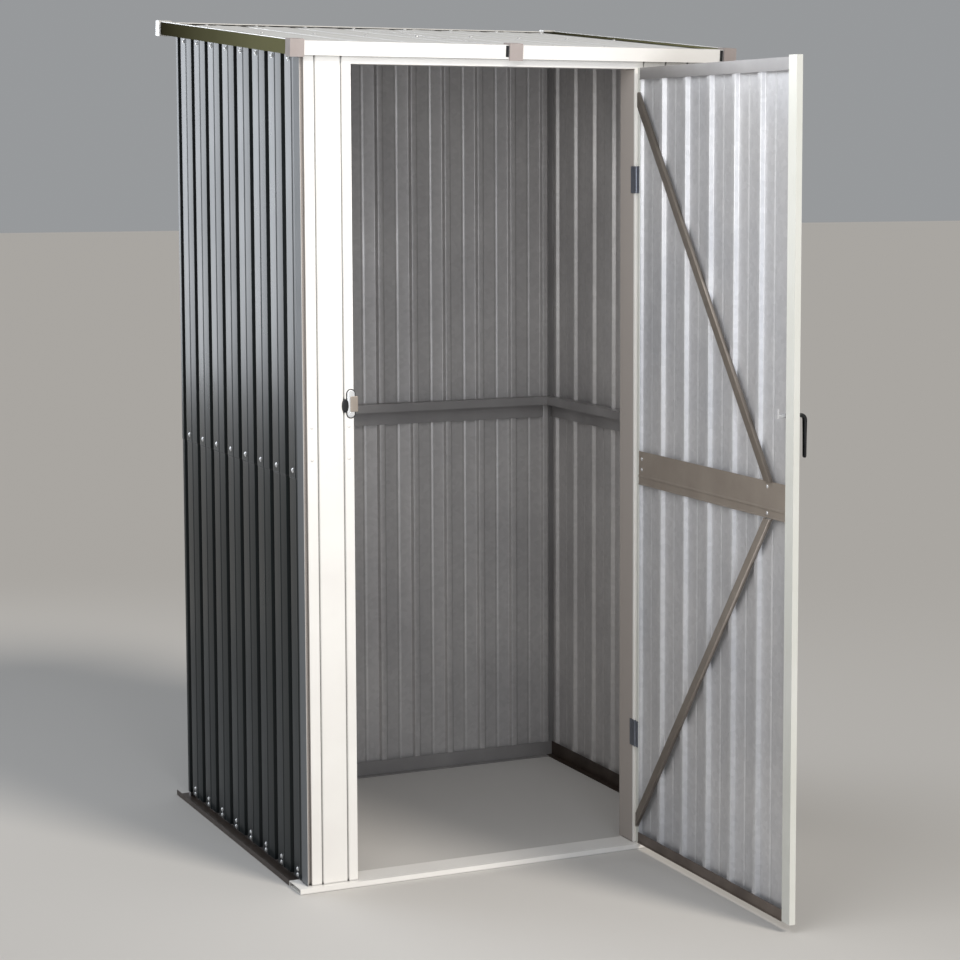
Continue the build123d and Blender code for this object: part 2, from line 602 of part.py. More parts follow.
def build_all():
    """All pieces of the shed by name."""
    pieces = {
        "sill": sill(),
        "base_rail_back": base_back_rail(),
        "lintel": lintel(),
        "jamb_left": jamb_left(),
        "jamb_right": jamb_right(),
        "girt_back": girt_back(),
        "top_rail_back": top_rail_back(),
        "roof_purlin": purlin(),
        "fascia_front": on_roof(fascia_front()),
        "fascia_back": on_roof(at_back(fascia_front())),
        "fascia_joiner": on_roof(fascia_joiner()),
        "back_wall_lower": back_wall(SILL_HEIGHT, LAP_TOP, 0.0),
        "back_wall_upper": back_wall(LAP_BOTTOM, TALL, SHEET),
        "door_sheet": door_sheet(),
        "door_hinge_stile": door_stile(DOOR_HINGE_EDGE, -1, HINGE_STILE_FLANGE, DOOR_RAIL_TOP),
        "door_free_stile": door_stile(DOOR_FREE_EDGE, 1, FREE_STILE_FLANGE, DOOR_TOP),
        "door_top_rail": (
            door_rail(DOOR_RAIL_TOP - TOP_RAIL, DOOR_RAIL_TOP)
            + door_end_web(DOOR_RAIL_TOP - FRAME, DOOR_RAIL_TOP)
        ),
        "door_middle_rail": door_rail(MIDDLE_RAIL_TOP - MIDDLE_RAIL, MIDDLE_RAIL_TOP),
        "door_bottom_rail": (
            door_rail(DOOR_BOTTOM, DOOR_BOTTOM + BOTTOM_RAIL)
            + door_end_web(DOOR_BOTTOM, DOOR_BOTTOM + FRAME)
        ),
        "door_brace_upper": door_brace(MIDDLE_RAIL_TOP, DOOR_TOP - BRACE_HEAD),
        "door_brace_lower": door_brace(MIDDLE_RAIL_TOP - MIDDLE_RAIL, DOOR_BOTTOM + BRACE_HEAD),
        "hinge_frame_upper": frame_hinge(UPPER_HINGE),
        "hinge_frame_lower": frame_hinge(LOWER_HINGE),
        "hinge_door_upper": door_hinge(UPPER_HINGE),
        "hinge_door_lower": door_hinge(LOWER_HINGE),
        "handle_plate": handle_plate(),
        "handle_lever": handle_lever(),
        "latch_tongue": latch_tongue(),
        "latch_keeper": latch_keeper(),
    }
    for name, side in (("left", -1), ("right", 1)):
        pieces[f"base_rail_{name}"] = base_side_rail(side)
        pieces[f"back_post_{name}"] = back_post(side)
        pieces[f"{name}_wall_lower"] = side_wall(side, SILL_HEIGHT, LAP_TOP, 0.0)
        pieces[f"{name}_wall_upper"] = side_wall(side, LAP_BOTTOM, TALL, SHEET)
        pieces[f"girt_{name}"] = girt_side(side)
        pieces[f"top_rail_{name}"] = top_rail_side(side)
        pieces[f"roof_sheet_{name}"] = roof_sheet(side)
        pieces[f"fascia_{name}"] = fascia_side(side)
        cap = on_side(roof_cap(), -side)
        pieces[f"roof_cap_front_{name}"] = on_roof(cap)
        pieces[f"roof_cap_back_{name}"] = on_roof(at_back(cap))
    return pieces


os.makedirs("parts", exist_ok=True)
for piece_name, piece in build_all().items():
    export_step(piece, f"parts/{piece_name}.step")
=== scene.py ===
"""Looks of a small ribbed-steel garden shed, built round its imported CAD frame.

All lengths are in metres in the frame's own axes: +X to the right seen from the front, +Y to the
back and +Z up, with the origin at ground level under the middle of the front sill. The door stands
open square to the front at rest.
"""

import logging
import math
from collections.abc import Callable, Sequence
from dataclasses import dataclass, field
from enum import Enum

import bmesh
import bpy
from mathutils import Matrix, Vector

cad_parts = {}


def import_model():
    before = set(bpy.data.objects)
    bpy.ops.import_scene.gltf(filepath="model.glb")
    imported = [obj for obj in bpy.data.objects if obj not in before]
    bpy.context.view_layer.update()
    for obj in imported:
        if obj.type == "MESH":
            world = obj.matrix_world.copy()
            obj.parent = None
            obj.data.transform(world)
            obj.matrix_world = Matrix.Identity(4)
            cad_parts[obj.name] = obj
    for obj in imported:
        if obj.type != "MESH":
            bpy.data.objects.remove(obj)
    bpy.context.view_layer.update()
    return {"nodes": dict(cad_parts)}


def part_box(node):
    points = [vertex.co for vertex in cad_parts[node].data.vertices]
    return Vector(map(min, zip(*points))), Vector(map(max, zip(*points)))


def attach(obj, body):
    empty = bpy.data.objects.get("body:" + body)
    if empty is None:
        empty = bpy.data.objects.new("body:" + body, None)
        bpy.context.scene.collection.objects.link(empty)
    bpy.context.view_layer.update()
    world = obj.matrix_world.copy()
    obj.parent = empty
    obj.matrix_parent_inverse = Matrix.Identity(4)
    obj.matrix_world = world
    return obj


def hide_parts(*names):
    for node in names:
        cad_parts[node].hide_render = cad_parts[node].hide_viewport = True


LOG = logging.getLogger("shed")
Point = tuple[float, float]
Place = tuple[float, float, float]
# Width, depth and squareness of a softened cross-section.
Section = tuple[float, float, float]

# Noise keeps near its middle, so this part of it is spread over the whole range.
NOISE_RANGE = (0.3, 0.7)
CLEAR_COAT_ROUGHNESS = 0.18
GRAIN_STRENGTH = 0.35
LEAF_EDGE = 0.0006
# Ambient occlusion range and rays of the painted shade in tight folds.
FOLD_OPENNESS = (0.3, 0.72)
FOLD_RAYS = 8
# Largest part of a line's piece that the curve at one of its corners may take.
CURVE_SHARE = 0.45


class Body(Enum):
    """Moving bodies of the frame that a piece can ride on."""

    SHED = "shed"
    DOOR = "door"
    HANDLE = "handle"


class Slot(Enum):
    """Material slots of the part's record."""

    WALL = "wall_sheet"
    ROOF = "roof_sheet"
    WHITE = "white_trim"
    ZINC = "galvanised_frame"
    BLACK_PLASTIC = "black_plastic"


# Colour and shader nodes


def linear_rgb(hex_colour: str) -> tuple[float, float, float, float]:
    """Turn a screen colour into the linear colour that shaders use.

    Args:
        hex_colour: six hexadecimal digits, two each for red, green and blue.

    Returns:
        Linear red, green, blue and full opacity.
    """
    channels = []
    for start in (0, 2, 4):
        value = int(hex_colour[start:start + 2], 16) / 255
        if value <= 0.04045:
            channels.append(value / 12.92)
        else:
            channels.append(((value + 0.055) / 1.055) ** 2.4)
    return channels[0], channels[1], channels[2], 1.0


def add_node(
    tree: bpy.types.NodeTree, kind: str, inputs: dict[str, object], **settings: str | int
) -> bpy.types.Node:
    """Add one shader node with its settings, and set or link its inputs.

    Args:
        tree: node tree that gets the node.
        kind: Blender's type name of the node.
        inputs: input socket names with a constant, or an output socket to link from.
        settings: the node's own properties by name.

    Returns:
        The new node.
    """
    node = tree.nodes.new(kind)
    for name, value in settings.items():
        setattr(node, name, value)
    for name, value in inputs.items():
        if isinstance(value, bpy.types.NodeSocket):
            tree.links.new(value, node.inputs[name])
        else:
            node.inputs[name].default_value = value
    return node


@dataclass(frozen=True)
class Finish:
    """One real surface: a base colour with soft patches and a fine grain in its gloss and relief.

    Lengths that end in _mm are millimetres on the real thing. A painted reflection fade goes from the first
    depth to the second. A painted leaf shade colour holds beyond its distance from the middle or behind its
    depth.
    """

    name: str
    colour: str
    patch_colour: str
    metallic: float
    roughness: tuple[float, float]
    patch_mm: float
    grain_mm: float
    relief_mm: float
    spangle_mm: float = 0.0
    spangle_strength: float = 0.0
    coat: float = 0.0
    fold_reach_mm: float = 0.0
    fold_painted_shade: float = 0.0
    specular: float = 0.5
    painted_reflection_colour: str = ""
    painted_reflection_mm: tuple[float, float] = (0.0, 0.0)
    side_leaf_shade_colour: str = ""
    side_leaf_mm: float = 0.0
    back_leaf_shade_colour: str = ""
    back_leaf_mm: float = 0.0

    def build(self) -> bpy.types.Material:
        """Make the Blender material for this finish.

        The patches shift the colour and the gloss together. The grain is only in the relief.

        Returns:
            The material.
        """
        material = bpy.data.materials.new(self.name)
        material.use_nodes = True
        tree = material.node_tree
        shader = tree.nodes["Principled BSDF"]
        place = add_node(tree, "ShaderNodeTexCoord", {}).outputs["Object"]
        patches = add_node(
            tree,
            "ShaderNodeTexNoise",
            {"Vector": place, "Scale": 1000 / self.patch_mm, "Detail": 3.0, "Roughness": 0.55},
        )
        grain = add_node(
            tree,
            "ShaderNodeTexNoise",
            {"Vector": place, "Scale": 1000 / self.grain_mm, "Detail": 2.0},
        )
        low, high = NOISE_RANGE
        share = add_node(
            tree,
            "ShaderNodeMapRange",
            {"Value": patches.outputs["Fac"], "From Min": low, "From Max": high},
        ).outputs["Result"]
        smooth, rough = self.roughness
        gloss = add_node(tree, "ShaderNodeMapRange", {"Value": share, "To Min": smooth, "To Max": rough})
        base = add_node(
            tree,
            "ShaderNodeMix",
            {"Factor": share, "A": linear_rgb(self.colour), "B": linear_rgb(self.patch_colour)},
            data_type="RGBA",
        ).outputs["Result"]
        # Painted reflection fade, painted shade on folded-back leaves, real zinc flakes, then painted shade
        # in tight folds.
        if self.painted_reflection_colour:
            base = self.add_painted_reflection_fade(tree, place, base)
        if self.side_leaf_shade_colour:
            base = self.add_painted_leaf_shade(tree, place, base)
        if self.spangle_mm:
            base = self.add_spangle(tree, place, base)
        if self.fold_reach_mm:
            base = self.add_fold_painted_shade(tree, base)
        tree.links.new(base, shader.inputs["Base Color"])
        tree.links.new(gloss.outputs["Result"], shader.inputs["Roughness"])
        shader.inputs["Metallic"].default_value = self.metallic
        shader.inputs["Specular IOR Level"].default_value = self.specular
        shader.inputs["Coat Weight"].default_value = self.coat
        shader.inputs["Coat Roughness"].default_value = CLEAR_COAT_ROUGHNESS
        bump = add_node(
            tree,
            "ShaderNodeBump",
            {
                "Height": grain.outputs["Fac"],
                "Strength": GRAIN_STRENGTH,
                "Distance": self.relief_mm / 1000,
            },
        )
        tree.links.new(bump.outputs["Normal"], shader.inputs["Normal"])
        return material

    def add_painted_reflection_fade(
        self,
        tree: bpy.types.NodeTree,
        place: bpy.types.NodeSocket,
        base: bpy.types.NodeSocket,
    ) -> bpy.types.NodeSocket:
        """Paint a reflection and shade: change the colour smoothly from the front of the shed to its back.

        Args:
            tree: the material's node tree.
            place: coordinates on the object, in metres.
            base: colour at the front.

        Returns:
            The output socket with the faded colour.
        """
        parts = add_node(tree, "ShaderNodeSeparateXYZ", {"Vector": place})
        start, end = self.painted_reflection_mm
        share = add_node(
            tree,
            "ShaderNodeMapRange",
            {"Value": parts.outputs["Y"], "From Min": start / 1000, "From Max": end / 1000},
        )
        faded = add_node(
            tree,
            "ShaderNodeMix",
            {"Factor": share.outputs["Result"], "A": base, "B": linear_rgb(self.painted_reflection_colour)},
            data_type="RGBA",
        )
        return faded.outputs["Result"]

    def add_painted_leaf_shade(
        self,
        tree: bpy.types.NodeTree,
        place: bpy.types.NodeSocket,
        base: bpy.types.NodeSocket,
    ) -> bpy.types.NodeSocket:
        """Paint shade on the leaves that are folded back from the front: greyer colours that stand for the
        shade they lie in.

        Args:
            tree: the material's node tree.
            place: coordinates on the object, in metres.
            base: colour of the front.

        Returns:
            The output socket with all the colours.
        """
        parts = add_node(tree, "ShaderNodeSeparateXYZ", {"Vector": place})
        aside = add_node(
            tree, "ShaderNodeMath", {"Value": parts.outputs["X"]}, operation="ABSOLUTE"
        )
        for value, limit_mm, colour in (
            (parts.outputs["Y"], self.back_leaf_mm, self.back_leaf_shade_colour),
            (aside.outputs["Value"], self.side_leaf_mm, self.side_leaf_shade_colour),
        ):
            limit = limit_mm / 1000
            mask = add_node(
                tree,
                "ShaderNodeMapRange",
                {"Value": value, "From Min": limit, "From Max": limit + LEAF_EDGE},
            )
            base = add_node(
                tree,
                "ShaderNodeMix",
                {"Factor": mask.outputs["Result"], "A": base, "B": linear_rgb(colour)},
                data_type="RGBA",
            ).outputs["Result"]
        return base

    def add_spangle(
        self,
        tree: bpy.types.NodeTree,
        place: bpy.types.NodeSocket,
        base: bpy.types.NodeSocket,
    ) -> bpy.types.NodeSocket:
        """Lighten and darken the colour by the crystal flakes of a hot-dip zinc layer.

        Args:
            tree: the material's node tree.
            place: coordinates on the object, in metres.
            base: colour before the flakes.

        Returns:
            The output socket with the flaked colour.
        """
        cells = add_node(
            tree, "ShaderNodeTexVoronoi", {"Vector": place, "Scale": 1000 / self.spangle_mm}
        )
        flake = add_node(tree, "ShaderNodeSeparateColor", {"Color": cells.outputs["Color"]})
        shade = add_node(
            tree,
            "ShaderNodeMapRange",
            {
                "Value": flake.outputs["Red"],
                "To Min": 1 - self.spangle_strength,
                "To Max": 1 + self.spangle_strength,
            },
        )
        grey = add_node(
            tree,
            "ShaderNodeCombineColor",
            {name: shade.outputs["Result"] for name in ("Red", "Green", "Blue")},
        )
        flaked = add_node(
            tree,
            "ShaderNodeMix",
            {"Factor": 1.0, "A": base, "B": grey.outputs["Color"]},
            data_type="RGBA",
            blend_type="MULTIPLY",
        )
        return flaked.outputs["Result"]

    def add_fold_painted_shade(
        self, tree: bpy.types.NodeTree, base: bpy.types.NodeSocket
    ) -> bpy.types.NodeSocket:
        """Paint shade inside tight folds: darken the colour where little light gets in.

        Args:
            tree: the material's node tree.
            base: colour before the shade.

        Returns:
            The output socket with the shaded colour.
        """
        reach = self.fold_reach_mm / 1000
        closed, wide = FOLD_OPENNESS
        open_sky = add_node(
            tree, "ShaderNodeAmbientOcclusion", {"Distance": reach}, samples=FOLD_RAYS
        )
        light = add_node(
            tree,
            "ShaderNodeMapRange",
            {
                "Value": open_sky.outputs["AO"],
                "From Min": closed,
                "From Max": wide,
                "To Min": 1 - self.fold_painted_shade,
                "To Max": 1.0,
            },
        )
        grey = add_node(
            tree,
            "ShaderNodeCombineColor",
            {name: light.outputs["Result"] for name in ("Red", "Green", "Blue")},
        )
        shaded = add_node(
            tree,
            "ShaderNodeMix",
            {"Factor": 1.0, "A": base, "B": grey.outputs["Color"]},
            data_type="RGBA",
            blend_type="MULTIPLY",
        )
        return shaded.outputs["Result"]


# Anthracite polyester coat on the outer side: dark, with a weak soft gloss that mirrors the sky in stripes.
ANTHRACITE_COAT = Finish(
    name="anthracite_polyester_coated_steel_outer",
    colour="1f2527",
    patch_colour="1b2022",
    metallic=0.0,
    roughness=(0.27, 0.33),
    patch_mm=260,
    grain_mm=1.6,
    relief_mm=0.04,
    specular=0.15,
)
# Bare hot-dip zinc on the inner side: pale, slightly patchy, with broad dull reflections.
BARE_ZINC_SHEET = Finish(
    name="hot_dip_galvanised_steel_inner",
    colour="d6d6d8",
    patch_colour="c3c4c8",
    metallic=0.4,
    roughness=(0.34, 0.46),
    patch_mm=180,
    grain_mm=2.2,
    relief_mm=0.05,
    spangle_mm=9,
    spangle_strength=0.05,
)
# The same zinc on the walls' inner side, painted duller and browner as painted shade for the closed-in
# inside of the shed.
SHADED_ZINC_SHEET = Finish(
    name="shaded_hot_dip_galvanised_steel_inner",
    colour="c6c4c3",
    patch_colour="b3b1b1",
    metallic=0.35,
    roughness=(0.34, 0.46),
    patch_mm=240,
    grain_mm=2.2,
    relief_mm=0.05,
    spangle_mm=9,
    spangle_strength=0.05,
)
# Pale grey coat of the roof: even and a little glossy, so that its ribs read as thin lines.
PALE_GREY_COAT = Finish(
    name="pale_grey_polyester_coated_roof_steel",
    colour="f3f3f1",
    patch_colour="e9e9e8",
    metallic=0.1,
    roughness=(0.32, 0.42),
    patch_mm=220,
    grain_mm=1.8,
    relief_mm=0.05,
)
# Off-white powder coat of the jambs, sill and roof edge: bright, with a fine skin and painted shade
# darkening its tight folds.
OFF_WHITE_COAT = Finish(
    name="off_white_powder_coated_folded_steel",
    colour="f1f0ed",
    patch_colour="eae8e5",
    metallic=0.0,
    roughness=(0.3, 0.38),
    patch_mm=150,
    grain_mm=1.2,
    relief_mm=0.04,
    coat=0.2,
    fold_reach_mm=7,
    fold_painted_shade=0.9,
)
# The same coat on the jambs, with painted shade: the folded-back leaves are painted grey, cool outside and
# warm inside, for the shade they lie in, and tight folds are darkened.
JAMB_COAT = Finish(
    name="off_white_powder_coated_roll_formed_steel",
    colour="f1f0ed",
    patch_colour="eae8e5",
    metallic=0.0,
    roughness=(0.3, 0.38),
    patch_mm=150,
    grain_mm=1.2,
    relief_mm=0.04,
    specular=0.03,
    fold_reach_mm=7,
    fold_painted_shade=0.94,
    side_leaf_shade_colour="6f7275",
    side_leaf_mm=421.2,
    back_leaf_shade_colour="aca5a0",
    back_leaf_mm=-14.5,
)
# The coat on the door's stiles: the jambs' white, painted greyer to stand for the shade on the stiles, with
# the same fine skin.
SHADED_STILE_COAT = Finish(
    name="shaded_white_powder_coated_folded_steel",
    colour="dfe0db",
    patch_colour="d7d8d1",
    metallic=0.0,
    roughness=(0.3, 0.38),
    patch_mm=150,
    grain_mm=1.2,
    relief_mm=0.04,
    specular=0.4,
)
# Grey zinc of posts, wall rails and the door's top rail: cooler than the door's other strips.
GREY_ZINC_STRIP = Finish(
    name="grey_galvanised_folded_steel_rail",
    colour="a5a3a3",
    patch_colour="949292",
    metallic=0.45,
    roughness=(0.34, 0.44),
    patch_mm=110,
    grain_mm=1.5,
    relief_mm=0.04,
)
# Painted shadow under the lap of the wall sheets: a thin dull black line that stands for the lap's contact
# shadow.
LAP_SHADOW_BLACK = Finish(
    name="painted_lap_shadow_black",
    colour="141516",
    patch_colour="191a1b",
    metallic=0.0,
    roughness=(0.6, 0.7),
    patch_mm=20,
    grain_mm=1.0,
    relief_mm=0.05,
)
# Dull zinc of the door's rails and straps: brownish grey with a satin shine along the folds.
DULL_ZINC_STRIP = Finish(
    name="dull_galvanised_folded_steel_strip",
    colour="a79d93",
    patch_colour="998f85",
    metallic=0.4,
    roughness=(0.32, 0.44),
    patch_mm=90,
    grain_mm=1.5,
    relief_mm=0.04,
)
# Side fascias: a matt brown coat with a painted reflection and shade that runs from khaki at the front to
# dark at the back.
BROWN_FASCIA_COAT = Finish(
    name="brown_matt_coated_folded_steel",
    colour="7e7d5e",
    patch_colour="757456",
    metallic=0.0,
    roughness=(0.6, 0.68),
    specular=0.0,
    patch_mm=160,
    grain_mm=1.4,
    relief_mm=0.03,
    painted_reflection_colour="2c281b",
    painted_reflection_mm=(60.0, 800.0),
)
# Foot rail of the door: the same zinc, made browner and darker.
BROWN_ZINC_STRIP = Finish(
    name="brown_darkened_galvanised_folded_steel_strip",
    colour="756a62",
    patch_colour="5f554e",
    metallic=0.35,
    roughness=(0.36, 0.48),
    patch_mm=70,
    grain_mm=1.5,
    relief_mm=0.04,
)
# Side base rails: a brown coat over zinc, dull where it lies flat and glossier on the folds, painted darker
# as painted shade for the shadow along the shed's foot.
SHADED_BASE_STEEL = Finish(
    name="shaded_brown_galvanised_folded_steel",
    colour="44382f",
    patch_colour="382e27",
    metallic=0.35,
    roughness=(0.4, 0.52),
    patch_mm=60,
    grain_mm=1.8,
    relief_mm=0.05,
)
# Bright zinc of screws and hinge pins: small white glints.
BRIGHT_ZINC = Finish(
    name="bright_zinc_plated_fixings",
    colour="e6e7e8",
    patch_colour="d6d8da",
    metallic=0.4,
    roughness=(0.22, 0.3),
    patch_mm=12,
    grain_mm=0.8,
    relief_mm=0.02,
)
# Bluish zinc of the hinge leaves: darker than the jamb beside them.
HINGE_STEEL = Finish(
    name="blue_passivated_zinc_plated_steel_hinge",
    colour="7b808b",
    patch_colour="6d727d",
    metallic=0.6,
    roughness=(0.32, 0.42),
    patch_mm=25,
    grain_mm=0.9,
    relief_mm=0.03,
)
# Warm grey moulded caps: dull, a little pink, with no metal shine.
WARM_GREY_PLASTIC = Finish(
    name="warm_grey_injection_moulded_plastic",
    colour="a89f9c",
    patch_colour="a09794",
    metallic=0.0,
    roughness=(0.5, 0.58),
    specular=0.05,
    patch_mm=40,
    grain_mm=0.7,
    relief_mm=0.04,
)
# Black moulded handle and plates: deep black with a fine satin grain.
BLACK_PLASTIC = Finish(
    name="black_injection_moulded_plastic",
    colour="17181a",
    patch_colour="1c1d1f",
    metallic=0.0,
    roughness=(0.3, 0.4),
    patch_mm=30,
    grain_mm=0.6,
    relief_mm=0.04,
)


class Palette:
    """The materials of the shed, each made once from its finish."""

    def __init__(self) -> None:
        """Start with no material made."""
        self.made: dict[str, bpy.types.Material] = {}

    def get(self, finish: Finish) -> bpy.types.Material:
        """Give the material for a finish, making it on first use.

        Args:
            finish: the surface wanted.

        Returns:
            The Blender material.
        """
        if finish.name not in self.made:
            self.made[finish.name] = finish.build()
        return self.made[finish.name]


# Meshes


def round_corners(line: Sequence[Point], reach: float, steps: int) -> list[Point]:
    """Round the inner corners of an open line with short curves.

    Args:
        line: corner points of the line.
        reach: how far from a corner its curve starts, at most.
        steps: straight pieces in each curve.

    Returns:
        The points of the rounded line.
    """
    result = [line[0]]
    for before, corner, after in zip(line, line[1:], line[2:]):
        here = Vector(corner)
        back = Vector(before) - here
        ahead = Vector(after) - here
        cut = min(reach, back.length * CURVE_SHARE, ahead.length * CURVE_SHARE)
        start = here + back.normalized() * cut
        end = here + ahead.normalized() * cut
        for step in range(steps + 1):
            t = step / steps
            mixed = start * (1 - t) ** 2 + here * 2 * t * (1 - t) + end * t ** 2
            result.append((mixed.x, mixed.y))
    result.append(line[-1])
    return result


def link_mesh(
    name: str,
    vertices: Sequence[Vector],
    faces: Sequence[Sequence[int]],
    materials: Sequence[bpy.types.Material],
    smooth_angle: float = 40.0,
) -> bpy.types.Object:
    """Make an object from vertices and faces, shaded smooth across gentle bends only.

    Args:
        name: name of the new object.
        vertices: places of the vertices.
        faces: vertex numbers of each face.
        materials: materials of the object.
        smooth_angle: largest bend that is shaded smooth, in degrees.

    Returns:
        The new object.
    """
    mesh = bpy.data.meshes.new(name)
    mesh.from_pydata([tuple(vertex) for vertex in vertices], [], faces)
    for material in materials:
        mesh.materials.append(material)
    work = bmesh.new()
    work.from_mesh(mesh)
    bmesh.ops.recalc_face_normals(work, faces=work.faces)
    for face in work.faces:
        face.smooth = True
    for edge in work.edges:
        if len(edge.link_faces) == 2:
            edge.smooth = edge.calc_face_angle() < math.radians(smooth_angle)
    work.to_mesh(mesh)
    work.free()
    thing = bpy.data.objects.new(name, mesh)
    bpy.context.scene.collection.objects.link(thing)
    return thing


def ring_faces(levels: int, count: int, start: int = 0) -> list[tuple[int, ...]]:
    """Give the faces of a closed body through rings of vertices.

    Args:
        levels: number of rings.
        count: vertices in each ring.
        start: number of the first vertex.

    Returns:
        Vertex numbers of the side faces and of both ends.
    """
    faces: list[tuple[int, ...]] = []
    for level in range(levels - 1):
        for number in range(count):
            a = start + level * count + number
            b = start + level * count + (number + 1) % count
            faces.append((a, b, b + count, a + count))
    faces.append(tuple(reversed(range(start, start + count))))
    faces.append(tuple(range(start + (levels - 1) * count, start + levels * count)))
    return faces


@dataclass(frozen=True)
class RibPattern:
    """Cross-section of the ribbed sheet: grooves one pitch apart with a low bead between them."""

    pitch: float
    first: float
    mouth: float = 0.019
    floor: float = 0.012
    depth: float = 0.008
    bead_width: float = 0.008
    bead_height: float = 0.0014
    end_flat: float = 0.010
    fold_reach: float = 0.0016
    fold_steps: int = 3

    def line(self, length: float) -> list[Point]:
        """Give the rounded outer line of a sheet.

        Args:
            length: width of the sheet along the pattern.

        Returns:
            Points (along, outwards) of the outer surface.
        """
        half_mouth = self.mouth / 2
        half_floor = self.floor / 2
        half_bead = self.bead_width / 2
        room = self.end_flat + self.bead_width
        points: list[Point] = [(0.0, 0.0)]
        middle = self.first - self.pitch / 2
        groove = False
        while middle < length - self.end_flat - half_mouth or not groove:
            if groove and middle > 0:
                points += [
                    (middle - half_mouth, 0.0),
                    (middle - half_floor, -self.depth),
                    (middle + half_floor, -self.depth),
                    (middle + half_mouth, 0.0),
                ]
            elif not groove and room < middle < length - room:
                points += [
                    (middle - half_bead, 0.0),
                    (middle, self.bead_height),
                    (middle + half_bead, 0.0),
                ]
            middle += self.pitch / 2
            groove = not groove
            if middle > length:
                break
        points.append((length, 0.0))
        return round_corners(points, self.fold_reach, self.fold_steps)


@dataclass
class RibbedPanel:
    """One ribbed sheet with a coated outer side and a bare inner side."""

    name: str
    line: list[Point]
    to_frame: Callable[[float, float, float], Vector]
    bottom: Callable[[float], float]
    top: Callable[[float], float]
    outer: bpy.types.Material
    inner: bpy.types.Material
    thickness: float = 0.0009

    def build(self) -> bpy.types.Object:
        """Make the panel.

        Returns:
            The finished piece.
        """
        count = len(self.line)
        vertices = []
        for offset in (0.0, self.thickness):
            for along, out in self.line:
                for height in (self.bottom(along), self.top(along)):
                    vertices.append(self.to_frame(along, out - offset, height))
        # Each step along the line gives four faces: the outer side, the inner side, the foot and the top.
        faces = []
        for number in range(count - 1):
            a = 2 * number
            b = a + 2 * count
            faces.append((a, a + 2, a + 3, a + 1))
            faces.append((b, b + 1, b + 3, b + 2))
            faces.append((a, b, b + 2, a + 2))
            faces.append((a + 1, a + 3, b + 3, b + 1))
        last = 2 * (count - 1)
        faces.append((0, 1, 2 * count + 1, 2 * count))
        faces.append((last, last + 2 * count, last + 2 * count + 1, last + 1))
        thing = link_mesh(self.name, vertices, faces, [self.outer, self.inner])
        # The coat is on the outer side alone: the first face of each step.
        for index, polygon in enumerate(thing.data.polygons):
            polygon.material_index = 0 if index % 4 == 0 and index < 4 * (count - 1) else 1
        return thing


@dataclass(frozen=True)
class ScrewHead:
    """Self-drilling screw with a washer and a domed head."""

    washer_radius: float = 0.0048
    washer_height: float = 0.0007
    head_radius: float = 0.0034
    head_height: float = 0.0024
    sides: int = 14

    def rings(self) -> list[Point]:
        """Give the outline from the washer's rim, over the head's shoulder, to the top of its dome.

        Returns:
            Points (radius, height).
        """
        top = self.head_height
        return [
            (self.washer_radius, 0.0),
            (self.washer_radius, self.washer_height * 0.7),
            (self.head_radius * 1.08, self.washer_height),
            (self.head_radius, self.washer_height + (top - self.washer_height) * 0.45),
            (self.head_radius * 0.72, top * 0.88),
            (self.head_radius * 0.3, top),
        ]


COUNTERSUNK_HEAD = ScrewHead(
    washer_radius=0.0042, washer_height=0.0003, head_radius=0.0038, head_height=0.0004
)
RIVET_HEAD = ScrewHead(washer_radius=0.0034, washer_height=0.0005, head_radius=0.0026, head_height=0.0014)
SMALL_HEAD = ScrewHead(washer_radius=0.0034, washer_height=0.0004, head_radius=0.0026, head_height=0.0014)


@dataclass
class ScrewSet:
    """Screws of one body, joined in one piece."""

    name: str
    head: ScrewHead = ScrewHead()
    places: list[tuple[Vector, Vector]] = field(default_factory=list)

    def add(self, place: Sequence[float], outwards: Sequence[float]) -> None:
        """Add a screw.

        Args:
            place: middle of the washer's underside.
            outwards: direction the head points in.
        """
        self.places.append((Vector(place), Vector(outwards).normalized()))

    def build(self, material: bpy.types.Material) -> bpy.types.Object:
        """Make all the screws of the set.

        Args:
            material: metal of the heads.

        Returns:
            The finished piece.
        """
        rings = self.head.rings()
        sides = self.head.sides
        vertices: list[Vector] = []
        faces: list[tuple[int, ...]] = []
        for place, outwards in self.places:
            turn = outwards.to_track_quat("Z", "Y")
            faces += ring_faces(len(rings), sides, len(vertices))
            for radius, height in rings:
                for side in range(sides):
                    angle = 2 * math.pi * side / sides
                    spot = Vector((radius * math.cos(angle), radius * math.sin(angle), height))
                    vertices.append(place + turn @ spot)
        return link_mesh(self.name, vertices, faces, [material], smooth_angle=50.0)


def lofted(
    name: str, rings: Sequence[Sequence[Vector]], material: bpy.types.Material, smooth_angle: float = 40.0
) -> bpy.types.Object:
    """Make a closed body through a row of rings with the same number of points.

    Args:
        name: name of the new object.
        rings: closed outlines in the frame, from one end to the other.
        material: material of the body.
        smooth_angle: largest bend that is shaded smooth, in degrees.

    Returns:
        The new object.
    """
    vertices = [point for ring in rings for point in ring]
    faces = ring_faces(len(rings), len(rings[0]))
    return link_mesh(name, vertices, faces, [material], smooth_angle)


def soft_rectangle(width: float, height: float, squareness: float, count: int = 24) -> list[Point]:
    """Give the outline of a rectangle with soft corners, or of an ellipse.

    Args:
        width: full width.
        height: full height.
        squareness: 0 for an ellipse, near 1 for a rectangle.
        count: number of points.

    Returns:
        Points round the middle.
    """
    power = 1 - squareness
    points = []
    for number in range(count):
        angle = 2 * math.pi * number / count
        cosine = math.cos(angle)
        sine = math.sin(angle)
        across = math.copysign(abs(cosine) ** power, cosine) * width / 2
        up = math.copysign(abs(sine) ** power, sine) * height / 2
        points.append((across, up))
    return points


